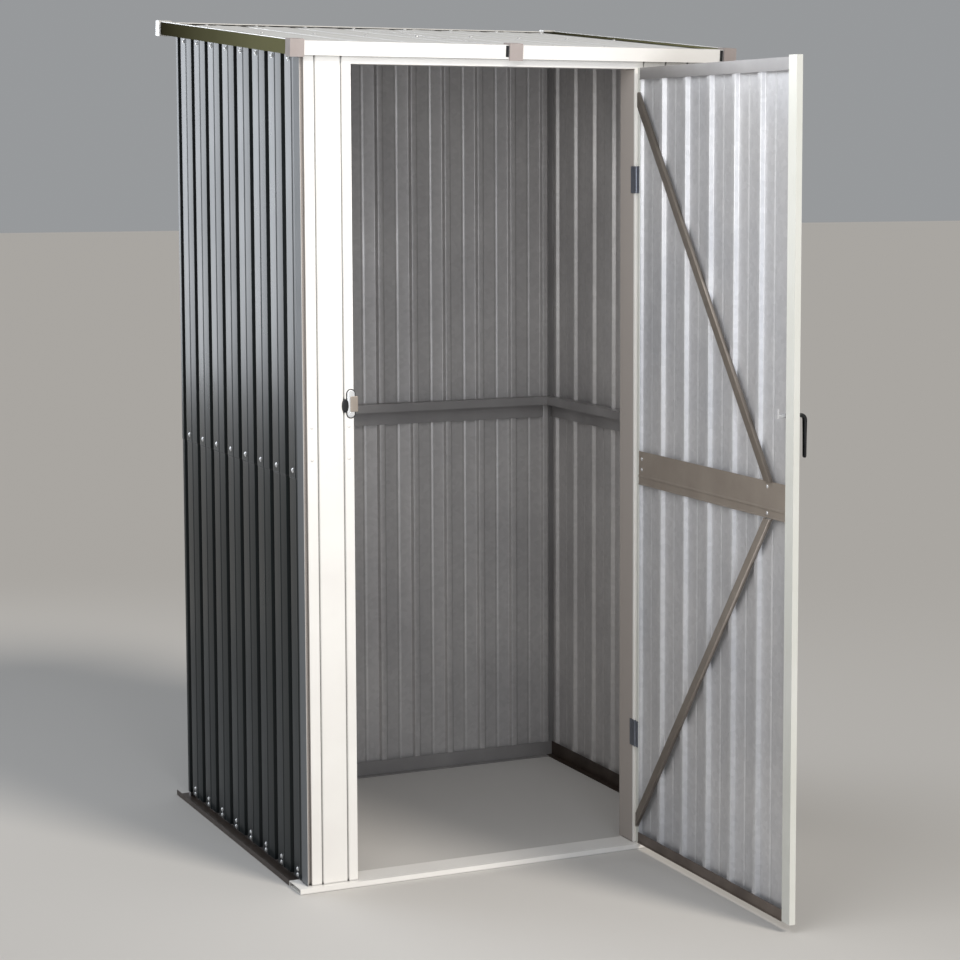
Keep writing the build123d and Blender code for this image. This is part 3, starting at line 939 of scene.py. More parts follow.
def trim(thing: bpy.types.Object, place: Sequence[float], outwards: Sequence[float]) -> None:
    """Cut away what lies beyond a plane and close the cut.

    Args:
        thing: object whose mesh is cut.
        place: a point on the plane.
        outwards: direction of the side that is cut away.
    """
    work = bmesh.new()
    work.from_mesh(thing.data)
    everything = work.verts[:] + work.edges[:] + work.faces[:]
    cut = bmesh.ops.bisect_plane(
        work, geom=everything, plane_co=place, plane_no=outwards, clear_outer=True
    )
    rim = [item for item in cut["geom_cut"] if isinstance(item, bmesh.types.BMEdge)]
    bmesh.ops.holes_fill(work, edges=rim)
    work.to_mesh(thing.data)
    work.free()


def folded_strip(line: Sequence[Point], thickness: float) -> list[Point]:
    """Turn the centre line of a folded strip into its closed outline.

    Args:
        line: points along the middle of the strip.
        thickness: thickness of the strip.

    Returns:
        The closed outline.
    """
    left = []
    right = []
    for number, point in enumerate(line):
        before = Vector(line[max(number - 1, 0)])
        after = Vector(line[min(number + 1, len(line) - 1)])
        along = (after - before).normalized()
        side = Vector((-along.y, along.x)) * thickness / 2
        left.append(tuple(Vector(point) + side))
        right.append(tuple(Vector(point) - side))
    return left + right[::-1]


# The shed


@dataclass(frozen=True)
class ShedSizes:
    """Places of the frame that the panels and screws follow."""

    bead_room: float = 0.0015
    half_width: float = 0.440
    front: float = -0.031
    height_front: float = 1.521
    roof_fall: float = 0.073
    roof_depth: float = 0.823
    roof_edge: float = 0.025
    jamb_face: float = -0.019
    seam: float = 0.7595
    cap_length: float = 0.026
    screw_before_groove: float = 0.0305
    screw_under_roof: float = 0.009
    screw_over_foot: float = 0.0055
    screw_set_back: float = 0.001
    screw_pair: float = 0.011

    @property
    def slope(self) -> float:
        """Angle of the roof above level, in radians."""
        return math.atan(self.roof_fall / self.roof_depth)

    @property
    def roof_run(self) -> float:
        """Length of the roof along its slope."""
        return self.roof_depth / math.cos(self.slope)

    def roof_underside(self, y: float) -> float:
        """Height of the roof frame's underside.

        Args:
            y: depth in the frame.

        Returns:
            Height above the ground.
        """
        drop = self.roof_edge / math.cos(self.slope)
        return self.height_front + (y - self.front) * math.tan(self.slope) - drop

    def on_roof(self) -> Matrix:
        """Give the roof's own frame: Y up the slope and Z square to the roof.

        Returns:
            The matrix from the roof's frame to the shed's.
        """
        start = Vector((0.0, self.front, self.roof_underside(self.front)))
        return Matrix.Translation(start) @ Matrix.Rotation(self.slope, 4, "X")


SIDE_RIBS = RibPattern(pitch=0.0905, first=0.082)
BACK_RIBS = RibPattern(pitch=0.0765, first=0.0505)
ROOF_RIBS = RibPattern(pitch=0.106, first=0.06325)
DOOR_RIBS = RibPattern(pitch=0.0895, first=0.1255)


@dataclass
class Group:
    """Pieces that are built together, from the same materials and sizes."""

    palette: Palette
    sizes: ShedSizes
    pieces: list[bpy.types.Object] = field(default_factory=list)

    def keep(self, thing: bpy.types.Object, body: Body, slot: Slot, replaces: Sequence[str] = ()) -> None:
        """Let a finished piece ride on its body and stand for CAD nodes.

        Args:
            thing: the finished object.
            body: body that it moves with.
            slot: material slot of the record; not used.
            replaces: CAD nodes that it stands for.
        """
        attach(thing, body.value)
        if replaces:
            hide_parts(*replaces)
        self.pieces.append(thing)

    def build(self) -> None:
        """Make every piece of the group."""
        raise NotImplementedError


@dataclass
class Walls(Group):
    """Side and back walls, each of a lower and an upper ribbed sheet, with their screws."""

    lap_shadow_proud: float = 0.0007
    lap_shadow_sunk: float = 0.0002
    lap_shadow_heights: Point = (-0.0022, 0.0004)
    rib_reach: float = 0.0105
    last_groove_room: float = 0.018
    corner_room: float = 0.012
    back_column_inset: float = 0.006

    def side_panel(self, side: str, tier: str) -> None:
        """Make one tier of a side wall.

        Args:
            side: "left" or "right".
            tier: "lower" or "upper".
        """
        node = f"{side}_wall_{tier}"
        low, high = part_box(node)
        sign = -1 if side == "left" else 1
        edge = low.x if sign < 0 else high.x
        flat = edge - sign * self.sizes.bead_room
        level = tier == "lower"
        panel = RibbedPanel(
            name=f"{node}_sheet",
            line=SIDE_RIBS.line(high.y - low.y),
            to_frame=lambda along, out, up: Vector((flat + sign * out, low.y + along, up)),
            bottom=lambda along: low.z,
            top=lambda along: high.z if level else self.sizes.roof_underside(low.y + along),
            outer=self.palette.get(ANTHRACITE_COAT),
            inner=self.palette.get(SHADED_ZINC_SHEET),
        )
        self.keep(panel.build(), Body.SHED, Slot.WALL, [node])

    def back_panel(self, tier: str) -> None:
        """Make one tier of the back wall.

        Args:
            tier: "lower" or "upper".
        """
        node = f"back_wall_{tier}"
        low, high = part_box(node)
        flat = high.y - self.sizes.bead_room
        panel = RibbedPanel(
            name=f"{node}_sheet",
            line=BACK_RIBS.line(high.x - low.x),
            to_frame=lambda along, out, up: Vector((low.x + along, flat + out, up)),
            bottom=lambda along: low.z,
            top=lambda along: min(high.z, self.sizes.roof_underside(high.y - self.rib_reach)),
            outer=self.palette.get(ANTHRACITE_COAT),
            inner=self.palette.get(SHADED_ZINC_SHEET),
        )
        self.keep(panel.build(), Body.SHED, Slot.WALL, [node])

    def lap_shadow_strip(self, side: str) -> None:
        """Make the thin black line under the lap of a side wall: a painted shadow.

        Args:
            side: "left" or "right".
        """
        low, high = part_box(f"{side}_wall_lower")
        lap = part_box(f"{side}_wall_upper")[0].z
        sign = -1 if side == "left" else 1
        flat = (low.x if sign < 0 else high.x) - sign * self.sizes.bead_room
        line = SIDE_RIBS.line(high.y - low.y)
        outline = [(along, out + self.lap_shadow_proud) for along, out in line]
        outline += [(along, out - self.lap_shadow_sunk) for along, out in reversed(line)]
        rings = [
            [Vector((flat + sign * b, low.y + a, lap + up)) for a, b in outline]
            for up in self.lap_shadow_heights
        ]
        lap_shadow = lofted(f"{side}_lap_shadow_strip", rings, self.palette.get(LAP_SHADOW_BLACK))
        self.keep(lap_shadow, Body.SHED, Slot.BLACK_PLASTIC)

    def screw_column(self, screws: ScrewSet, spot: Callable[[float, float], Vector], y: float) -> None:
        """Add the screws that stand above each other beside one groove.

        Args:
            screws: set that gets them.
            spot: gives a place on the wall from a height and from how far the lower tier lies back.
            y: depth of the column in the frame.
        """
        sizes = self.sizes
        out = spot(0, 0) - spot(0, 1)
        screws.add(spot(sizes.roof_underside(y) - sizes.screw_under_roof, 0), out)
        screws.add(spot(sizes.seam, 0), out)
        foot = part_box("left_wall_lower")[0].z + sizes.screw_over_foot
        screws.add(spot(foot, sizes.screw_set_back), out)
        screws.add(spot(foot + sizes.screw_pair, sizes.screw_set_back), out)

    def screws(self) -> None:
        """Put screws under the roof, along the seam and in pairs at the foot of each wall."""
        sizes = self.sizes
        wall = ScrewSet("wall_screws")
        for side, sign in (("left", -1), ("right", 1)):
            low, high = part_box(f"{side}_wall_upper")
            x = (low.x if sign < 0 else high.x) - sign * sizes.bead_room
            groove = low.y + SIDE_RIBS.first
            while groove < high.y - self.last_groove_room:
                y = groove - sizes.screw_before_groove
                self.screw_column(
                    wall, lambda up, back, y=y, x=x, sign=sign: Vector((x - sign * back, y, up)), y
                )
                groove += SIDE_RIBS.pitch
        low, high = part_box("back_wall_upper")
        y = high.y - sizes.bead_room
        groove = low.x + BACK_RIBS.first
        column = y - self.back_column_inset
        while groove < high.x - self.last_groove_room:
            x = groove + BACK_RIBS.pitch / 3
            if x < high.x - self.corner_room:
                self.screw_column(wall, lambda up, back, x=x: Vector((x, y - back, up)), column)
            groove += BACK_RIBS.pitch
        self.keep(wall.build(self.palette.get(BRIGHT_ZINC)), Body.SHED, Slot.ZINC)

    def build(self) -> None:
        """Make every sheet and screw of the walls."""
        for tier in ("lower", "upper"):
            for side in ("left", "right"):
                self.side_panel(side, tier)
            self.back_panel(tier)
        for side in ("left", "right"):
            self.lap_shadow_strip(side)
        self.screws()


@dataclass
class Roof(Group):
    """Two overlapping roof sheets, their screws and the trim of the roof edge."""

    margin: float = 0.0015
    sheet_width: float = 0.4445
    lap_start: float = -0.006
    lap_lift: float = 0.001
    under_trim: float = 0.004
    screw_from_rib: float = 0.0245
    screw_from_end: float = 0.045
    screw_from_side: float = 0.012
    screw_lift: float = 0.0002
    screws_per_sheet: int = 4
    purlin_share: float = 0.52
    shadow_slot_width: float = 0.0054
    shadow_slot_heights: Point = (0.0035, 0.0238)
    shadow_slot_stations: tuple[Point, ...] = ((0.001, 0.0), (-0.0009, 0.0), (-0.0013, 0.0004))
    joiner_gap: float = 0.0012
    cap_gap: float = 0.002
    edge_from_side: float = 0.0016
    edge_over_roof: float = 0.0011
    edge_section: Point = (0.0030, 0.0024)

    def sheet(self, side: str) -> None:
        """Make one half of the roof.

        Args:
            side: "left" or "right".
        """
        sizes = self.sizes
        tilt = sizes.on_roof()
        start = self.margin - sizes.half_width if side == "left" else self.lap_start
        lift = 0.0 if side == "left" else self.lap_lift
        flat = sizes.roof_edge - self.under_trim + lift
        node = f"roof_sheet_{side}"
        panel = RibbedPanel(
            name=f"{node}_skin",
            line=ROOF_RIBS.line(self.sheet_width),
            to_frame=lambda along, out, run: tilt @ Vector((start + along, run, flat + out)),
            bottom=lambda along: self.margin,
            top=lambda along: sizes.roof_run - self.margin,
            outer=self.palette.get(PALE_GREY_COAT),
            inner=self.palette.get(SHADED_ZINC_SHEET),
        )
        self.keep(panel.build(), Body.SHED, Slot.ROOF, [node])

    def screws(self) -> None:
        """Put screws beside each rib along the front, the purlin and the back."""
        sizes = self.sizes
        tilt = sizes.on_roof()
        up = tilt.to_3x3() @ Vector((0, 0, 1))
        roof = ScrewSet("roof_screws")
        seat = sizes.roof_edge - self.under_trim + self.screw_lift
        last_run = sizes.roof_run - self.screw_from_end
        for start, lift in ((self.margin - sizes.half_width, 0.0), (self.lap_start, self.lap_lift)):
            for number in range(self.screws_per_sheet):
                x = start + ROOF_RIBS.first + number * ROOF_RIBS.pitch + self.screw_from_rib
                for run in (self.screw_from_end, sizes.roof_run * self.purlin_share, last_run):
                    if x < sizes.half_width - self.screw_from_side:
                        roof.add(tilt @ Vector((x, run, seat + lift)), up)
        self.keep(roof.build(self.palette.get(BRIGHT_ZINC)), Body.SHED, Slot.ZINC)

    def drip_edge(self, side: str) -> None:
        """Make the narrow rolled edge on top of a side fascia.

        Args:
            side: "left" or "right".
        """
        sizes = self.sizes
        tilt = sizes.on_roof()
        sign = -1 if side == "left" else 1
        middle = sign * (sizes.half_width - self.edge_from_side)
        height = sizes.roof_edge + self.edge_over_roof
        outline = soft_rectangle(*self.edge_section, squareness=0.35, count=12)
        rings = [
            [tilt @ Vector((middle + a, run, height + b)) for a, b in outline]
            for run in (sizes.cap_length, sizes.roof_run - sizes.cap_length)
        ]
        edge = lofted(f"drip_edge_{side}", rings, self.palette.get(OFF_WHITE_COAT), smooth_angle=60.0)
        self.keep(edge, Body.SHED, Slot.WHITE)

    def painted_shadow_slot(self, name: str, x: float) -> None:
        """Make the black strip beside a cap on the front fascia: painted shadow of the cap's shaded side
        and of the shadow it casts.

        Args:
            name: name of the piece.
            x: left edge of the slot.
        """
        tilt = self.sizes.on_roof()
        rings = []
        for out, inset in self.shadow_slot_stations:
            left = x + inset
            right = x + self.shadow_slot_width - inset
            low = self.shadow_slot_heights[0] + inset
            high = self.shadow_slot_heights[1] - inset
            corners = [(left, low), (right, low), (right, high), (left, high)]
            rings.append([tilt @ Vector((a, out, b)) for a, b in corners])
        slot = lofted(name, rings, self.palette.get(BLACK_PLASTIC))
        self.keep(slot, Body.SHED, Slot.BLACK_PLASTIC)

    def build(self) -> None:
        """Make every piece of the roof."""
        for side in ("left", "right"):
            self.sheet(side)
            self.drip_edge(side)
        self.screws()
        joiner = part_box("fascia_joiner")[0].x
        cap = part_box("roof_cap_front_right")[0].x
        # Black strips beside the joiner and the right cap: painted shadows.
        self.painted_shadow_slot("joiner_shadow_slot", joiner - self.shadow_slot_width - self.joiner_gap)
        self.painted_shadow_slot("right_cap_shadow_slot", cap - self.shadow_slot_width - self.cap_gap)


@dataclass
class FrontFrame(Group):
    """Keeper, lock hub with painted shadow, and rivets on the front frame."""

    middle: Point = (-0.3313, 0.8815)
    plate: Point = (0.0175, 0.0530)
    rim: float = 0.0016
    hub: Point = (0.0125, 0.0240)
    hub_and_shadow_middle: Point = (-0.3420, 0.8782)
    tab: Point = (0.0150, 0.0280)
    tab_drop: float = 0.0008
    shade_rim_depths: Point = (0.0, 0.0011)
    plate_depths: Point = (0.0008, 0.0016)
    hub_and_shadow_depths: Point = (0.0, 0.0019)
    edge_steps: tuple[Point, ...] = ((0.0005, 0.0), (0.0001, 0.0003), (0.0, 0.0009))
    screw_seat: float = 0.0015
    rivet_sunk: float = 0.0001
    screw_spread: float = 0.0383
    rivet_columns: tuple[float, ...] = (-0.405, -0.335, 0.247, 0.405)
    rivet_heights: Point = (0.784, 0.842)

    def stadium(self, width: float, height: float, steps: int = 10) -> list[Point]:
        """Give the outline of a plate with half-round ends.

        Args:
            width: full width.
            height: full height.
            steps: straight pieces in each end.

        Returns:
            Points round the middle.
        """
        radius = width / 2
        rise = height / 2 - radius
        points = []
        for end, lift in ((0.0, rise), (math.pi, -rise)):
            for step in range(steps + 1):
                angle = end + math.pi * step / steps
                points.append((radius * math.cos(angle), lift + radius * math.sin(angle)))
        return points

    def plate_piece(
        self,
        name: str,
        middle: Point,
        outline: Callable[[float], list[Point]],
        depths: Point,
        finish: Finish,
        slot: Slot,
        replaces: Sequence[str] = (),
    ) -> None:
        """Make a flat piece on the jamb's face with a softened edge.

        Args:
            name: name of the piece.
            middle: (x, z) of its middle.
            outline: gives the outline for an inset.
            depths: how far its back and its front stand before the jamb's face.
            finish: surface of the piece.
            slot: material slot of the record.
            replaces: CAD nodes that it stands for.
        """
        back, front = depths
        rings = []
        stations = [(back, 0.0)] + [(front - behind, inset) for behind, inset in self.edge_steps]
        for depth, inset in stations:
            y = self.sizes.jamb_face - depth
            rings.append([Vector((middle[0] + a, y, middle[1] + b)) for a, b in outline(inset)])
        piece = lofted(name, rings, self.palette.get(finish), smooth_angle=50.0)
        self.keep(piece, Body.SHED, slot, replaces)

    def keeper(self) -> None:
        """Make the keeper: a zinc plate with a folded tab for the latch, on a black rim that is partly a
        real backing and partly painted shade and reflection round the plate's edge.
        """
        low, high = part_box("latch_keeper")
        width, height = self.plate
        # The black rim is partly painted shade and reflection round the plate's edge.
        self.plate_piece(
            "keeper_shade_rim",
            self.middle,
            lambda inset: self.stadium(width - 2 * inset, height - 2 * inset),
            self.shade_rim_depths,
            BLACK_PLASTIC,
            Slot.BLACK_PLASTIC,
        )
        inner = 2 * self.rim
        self.plate_piece(
            "keeper_plate",
            self.middle,
            lambda inset: self.stadium(width - inner - 2 * inset, height - inner - 2 * inset),
            self.plate_depths,
            BRIGHT_ZINC,
            Slot.ZINC,
        )
        across, tall = self.tab
        tab_middle = (high.x - across / 2, self.middle[1] - self.tab_drop)
        self.plate_piece(
            "keeper_tab",
            tab_middle,
            lambda inset: soft_rectangle(across - 2 * inset, tall - 2 * inset, squareness=0.85, count=40),
            (0.0, self.sizes.jamb_face - low.y),
            DULL_ZINC_STRIP,
            Slot.ZINC,
            ["latch_keeper"],
        )

    def lock_hub_and_shadow(self) -> None:
        """Make the oval black hub beside the keeper: partly a real hub, partly the keeper's painted shadow
        on the jamb.
        """
        width, height = self.hub
        self.plate_piece(
            "lock_hub_and_shadow",
            self.hub_and_shadow_middle,
            lambda inset: soft_rectangle(width - 2 * inset, height - 2 * inset, squareness=0.15, count=32),
            self.hub_and_shadow_depths,
            BLACK_PLASTIC,
            Slot.BLACK_PLASTIC,
        )

    def fixings(self) -> None:
        """Put screws on the keeper and painted rivets on the jambs."""
        x, z = self.middle
        face = self.sizes.jamb_face
        screws = ScrewSet("keeper_screws", COUNTERSUNK_HEAD)
        for sign in (-1, 1):
            screws.add((x, face - self.screw_seat, z + sign * self.screw_spread / 2), (0, -1, 0))
        self.keep(screws.build(self.palette.get(BRIGHT_ZINC)), Body.SHED, Slot.ZINC)
        rivets = ScrewSet("jamb_rivets", RIVET_HEAD)
        for x in self.rivet_columns:
            for z in self.rivet_heights:
                rivets.add((x, face + self.rivet_sunk, z), (0, -1, 0))
        self.keep(rivets.build(self.palette.get(OFF_WHITE_COAT)), Body.SHED, Slot.ZINC)

    def build(self) -> None:
        """Make every small piece of the front frame."""
        self.keeper()
        self.lock_hub_and_shadow()
        self.fixings()


@dataclass
class Door(Group):
    """The open door with its skin, middle rail, braces, handle and fixings."""

    face: float = 0.2375
    strip: float = 0.0009
    hidden_rib: float = 0.03
    rail_top_room: float = 0.0003
    crease_over_foot: float = 0.0165
    crease_reach: float = 0.0030
    crease_floor: float = 0.0008
    crease_depth: float = 0.0013
    lip_heights: Point = (0.0036, 0.0006)
    lip_depth: float = 0.0014
    brace_overrun: float = 0.06
    brace_left: float = 0.0125
    brace_right: float = 0.0035
    brace_splay: float = 0.0004
    brace_face: float = 0.2318
    brace_back: float = 0.2383
    brace_free_end: float = -0.529
    brace_hinge_end: float = -0.038
    brace_under_top: float = 0.030
    brace_over_foot: float = 0.018
    lever_bend: float = 0.0085
    lever_drop: float = 0.0045
    lever_half: float = 0.0030
    spindle: Section = (0.0078, 0.0078, 0.0)
    boss: Section = (0.0088, 0.0088, 0.0)
    neck: Section = (0.0084, 0.0080, 0.2)
    grip: Section = (0.0088, 0.0070, 0.35)
    waist: Section = (0.0084, 0.0056, 0.4)
    tip: tuple[tuple[float, Section], ...] = (
        (0.0030, (0.0080, 0.0052, 0.4)),
        (0.0008, (0.0070, 0.0044, 0.3)),
        (0.0000, (0.0050, 0.0026, 0.2)),
    )
    neck_length: float = 0.004
    bend_steps: int = 6
    hair: float = 0.0002
    tip_lift: float = 0.0003
    plate_steps: tuple[Point, ...] = ((0.0014, 0.0), (0.0004, 0.0006), (0.0, 0.0018))
    lock_over_foot: float = 0.0125
    lock_steps: tuple[Point, ...] = ((-0.0010, 0.0120), (0.0010, 0.0120), (0.0014, 0.0112))
    screw_after_groove: float = 0.0225
    screw_sunk: float = 0.0001
    last_groove_room: float = 0.04
    stile_screws: int = 6
    stile_screw_margin: float = 0.05
    stile_screw_inset: float = 0.0065
    plate_screw_inset: float = 0.013
    plate_screws: Point = (0.0075, 0.0235)
    rail_rivet_seat: float = 0.0004
    rail_rivets: tuple[Point, ...] = ((-0.517, 0.760), (-0.517, 0.714), (-0.050, 0.755), (-0.050, 0.735))

    def skin(self) -> None:
        """Make the ribbed skin of the door, whose last rib folds away under the hinge edge."""
        low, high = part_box("door_sheet")
        flat = high.x - self.sizes.bead_room
        length = high.y - low.y
        line = [point for point in DOOR_RIBS.line(length + self.hidden_rib) if point[0] < length]
        line.append((length, line[-1][1]))
        panel = RibbedPanel(
            name="door_skin",
            line=line,
            to_frame=lambda along, out, up: Vector((flat + out, low.y + along, up)),
            bottom=lambda along: low.z,
            top=lambda along: high.z,
            outer=self.palette.get(ANTHRACITE_COAT),
            inner=self.palette.get(BARE_ZINC_SHEET),
        )
        self.keep(panel.build(), Body.DOOR, Slot.WALL, ["door_sheet"])

    def middle_rail(self) -> None:
        """Make the middle rail with its pressed crease and the lip along its foot."""
        low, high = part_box("door_middle_rail")
        face = self.face
        crease = low.z + self.crease_over_foot
        line = [
            (face, high.z - self.rail_top_room),
            (face, crease + self.crease_reach),
            (face - self.crease_depth, crease + self.crease_floor),
            (face - self.crease_depth, crease - self.crease_floor),
            (face, crease - self.crease_reach),
            (face, low.z + self.lip_heights[0]),
            (face - self.lip_depth, low.z + self.lip_heights[1]),
        ]
        outline = folded_strip(round_corners(line, reach=0.0007, steps=3), self.strip)
        rings = [[Vector((a, y, b)) for a, b in outline] for y in (low.y, high.y)]
        rail = lofted("middle_rail_strip", rings, self.palette.get(DULL_ZINC_STRIP))
        self.keep(rail, Body.DOOR, Slot.ZINC, ["door_middle_rail"])

    def brace(self, name: str, foot: Point, head: Point, z_limits: Point) -> None:
        """Make a slanting brace: a shallow channel that stands with its flanges on the ribs.

        Args:
            name: "upper" or "lower".
            foot: (y, z) of the strap's middle at the free side.
            head: (y, z) of its middle at the hinge side.
            z_limits: lowest and highest place that it may reach.
        """
        hinge_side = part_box(f"door_brace_{name}")[1].y
        start = Vector((0, *foot))
        end = Vector((0, *head))
        along = (end - start).normalized()
        across = along.cross(Vector((1, 0, 0)))
        if across.y > 0:
            across = -across
        line = [
            (-self.brace_left, self.brace_back),
            (-self.brace_left, self.brace_face),
            (self.brace_right, self.brace_face),
            (self.brace_right + self.brace_splay, self.brace_back),
        ]
        outline = folded_strip(round_corners(line, reach=0.0010, steps=4), self.strip)
        rings = []
        for place in (start - along * self.brace_overrun, end + along * self.brace_overrun):
            rings.append([place + across * a + Vector((b, 0, 0)) for a, b in outline])
        strap = lofted(f"brace_{name}_strip", rings, self.palette.get(DULL_ZINC_STRIP))
        trim(strap, (0, hinge_side, 0), (0, 1, 0))
        trim(strap, (0, 0, z_limits[0]), (0, 0, -1))
        trim(strap, (0, 0, z_limits[1]), (0, 0, 1))
        self.keep(strap, Body.DOOR, Slot.ZINC, [f"door_brace_{name}"])

    def braces(self) -> None:
        """Make both braces between the rails."""
        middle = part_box("door_middle_rail")
        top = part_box("door_top_rail")[0].z
        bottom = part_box("door_bottom_rail")[1].z
        free = self.brace_free_end
        hinge = self.brace_hinge_end
        upper_end = (hinge, top - self.brace_under_top)
        lower_end = (hinge, bottom + self.brace_over_foot)
        self.brace("upper", (free, middle[1].z), upper_end, (middle[1].z, top))
        self.brace("lower", (free, middle[0].z), lower_end, (bottom, middle[0].z))

    def lever(self) -> None:
        """Make the hanging lever: a moulded grip on a steel spindle that runs through the door."""
        plate_low, plate_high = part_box("handle_plate")
        low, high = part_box("handle_lever")
        y = (low.y + high.y) / 2
        z = high.z - self.lever_drop
        bar = high.x - self.lever_half
        bend = self.lever_bend
        foot = low.z + self.tip_lift
        # Each station gives its x, its height and its section.
        route = [
            (low.x + self.hair, z, self.spindle),
            (plate_low.x, z, self.spindle),
            (plate_high.x + self.hair, z, self.spindle),
            (plate_high.x + 2 * self.hair, z, self.boss),
            (bar - bend - self.neck_length, z, self.neck),
        ]
        for step in range(self.bend_steps + 1):
            turn = math.pi / 2 * step / self.bend_steps
            x = bar - bend + bend * math.sin(turn)
            route.append((x, z - bend + bend * math.cos(turn), self.grip))
        route.append((bar, (z + foot) / 2, self.waist))
        route += [(bar, foot + lift, section) for lift, section in self.tip]
        rings = []
        side = Vector((0, 1, 0))
        for number, (x, up, section) in enumerate(route):
            before = route[max(number - 1, 0)]
            after = route[min(number + 1, len(route) - 1)]
            along = Vector((after[0] - before[0], 0, after[1] - before[1])).normalized()
            outwards = side.cross(along)
            outline = soft_rectangle(*section)
            rings.append([Vector((x, y, up)) + side * a + outwards * b for a, b in outline])
        lever = lofted("handle_lever_moulding", rings, self.palette.get(BLACK_PLASTIC), smooth_angle=50.0)
        # Inside the door the spindle is bare metal.
        lever.data.materials.append(self.palette.get(BARE_ZINC_SHEET))
        for polygon in lever.data.polygons:
            polygon.material_index = 1 if polygon.center.x < plate_low.x else 0
        self.keep(lever, Body.HANDLE, Slot.BLACK_PLASTIC, ["handle_lever"])

    def plate(self) -> None:
        """Make the plate behind the lever, with softened corners and edge."""
        low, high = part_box("handle_plate")
        middle = (low + high) / 2
        span = high - low
        rings = []
        for x, inset in [(low.x, 0.0)] + [(high.x - behind, inset) for behind, inset in self.plate_steps]:
            width = span.y - 2 * inset
            height = span.z - 2 * inset
            outline = soft_rectangle(width, height, squareness=0.62, count=40)
            rings.append([Vector((x, middle.y + a, middle.z + b)) for a, b in outline])
        plate = lofted("handle_plate_moulding", rings, self.palette.get(BLACK_PLASTIC), smooth_angle=50.0)
        self.keep(plate, Body.DOOR, Slot.BLACK_PLASTIC, ["handle_plate"])

    def barrel(self) -> None:
        """Make the round lock barrel near the foot of the plate."""
        low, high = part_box("handle_plate")
        y = (low.y + high.y) / 2
        z = low.z + self.lock_over_foot
        rings = []
        for out, size in self.lock_steps:
            outline = soft_rectangle(size, size, squareness=0.0, count=28)
            rings.append([Vector((high.x + out, y + a, z + b)) for a, b in outline])
        barrel = lofted("lock_barrel", rings, self.palette.get(BRIGHT_ZINC))
        self.keep(barrel, Body.DOOR, Slot.ZINC)

    def screws(self) -> None:
        """Put screws on the outer face, the free stile, the handle's plate and the middle rail."""
        sheet_low, sheet_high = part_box("door_sheet")
        outer = sheet_high.x - self.sizes.bead_room + self.screw_sunk
        outside = ScrewSet("door_screws")
        rails = [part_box(f"door_{name}_rail") for name in ("bottom", "middle", "top")]
        heights = [(low.z + high.z) / 2 for low, high in rails]
        groove = sheet_low.y + DOOR_RIBS.first
        while groove < sheet_high.y - self.last_groove_room:
            for z in heights:
                outside.add((outer, groove + self.screw_after_groove, z), (1, 0, 0))
            groove += DOOR_RIBS.pitch
        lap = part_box("door_free_stile")
        margin = self.stile_screw_margin
        gap = (lap[1].z - lap[0].z - 2 * margin) / (self.stile_screws - 1)
        for number in range(self.stile_screws):
            z = lap[0].z + margin + number * gap
            outside.add((lap[1].x, lap[0].y + self.stile_screw_inset, z), (1, 0, 0))
        self.keep(outside.build(self.palette.get(BRIGHT_ZINC)), Body.DOOR, Slot.ZINC)
        small = ScrewSet("door_small_screws", SMALL_HEAD)
        plate_low, plate_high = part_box("handle_plate")
        y = plate_low.y + self.plate_screw_inset
        small.add((plate_high.x, y, plate_high.z - self.plate_screws[0]), (1, 0, 0))
        small.add((plate_high.x, y, plate_low.z + self.plate_screws[1]), (1, 0, 0))
        for y, z in self.rail_rivets:
            small.add((self.face - self.rail_rivet_seat, y, z), (-1, 0, 0))
        self.keep(small.build(self.palette.get(BRIGHT_ZINC)), Body.DOOR, Slot.ZINC)

    def build(self) -> None:
        """Make every piece of the door."""
        self.skin()
        self.middle_rail()
        self.braces()
        self.lever()
        self.plate()
        self.barrel()
        self.screws()


# The CAD nodes that stay


# Finish of the nodes whose names start so. A later line wins over an earlier one.
STAYING: dict[str, Finish] = {
    "sill": OFF_WHITE_COAT,
    "jamb_": JAMB_COAT,
    "girt_": GREY_ZINC_STRIP,
    "top_rail_": GREY_ZINC_STRIP,
    "back_post_": GREY_ZINC_STRIP,
    "base_rail_": GREY_ZINC_STRIP,
    "lintel": OFF_WHITE_COAT,
    "fascia_front": OFF_WHITE_COAT,
    "fascia_back": OFF_WHITE_COAT,
    "fascia_left": BROWN_FASCIA_COAT,
    "fascia_right": BROWN_FASCIA_COAT,
    "fascia_joiner": WARM_GREY_PLASTIC,
    "roof_cap_front": WARM_GREY_PLASTIC,
    "roof_cap_back": OFF_WHITE_COAT,
    "base_rail_left": SHADED_BASE_STEEL,
    "base_rail_right": SHADED_BASE_STEEL,
    "door_free_stile": SHADED_STILE_COAT,
    "door_hinge_stile": SHADED_STILE_COAT,
    "door_top_rail": GREY_ZINC_STRIP,
    "door_bottom_rail": BROWN_ZINC_STRIP,
    "hinge_": HINGE_STEEL,
    "latch_tongue": BARE_ZINC_SHEET,
}


def dress_nodes(nodes: dict[str, bpy.types.Object], palette: Palette) -> int:
    """Give the CAD nodes their finishes: dull zinc where no line names another.

    Args:
        nodes: CAD objects by name.
        palette: source of the materials.

    Returns:
        How many nodes were dressed.
    """
    for name, node in nodes.items():
        finish = DULL_ZINC_STRIP
        for start, wanted in STAYING.items():
            if name.startswith(start):
                finish = wanted
        node.data.materials.clear()
        node.data.materials.append(palette.get(finish))
    return len(nodes)


# Studio


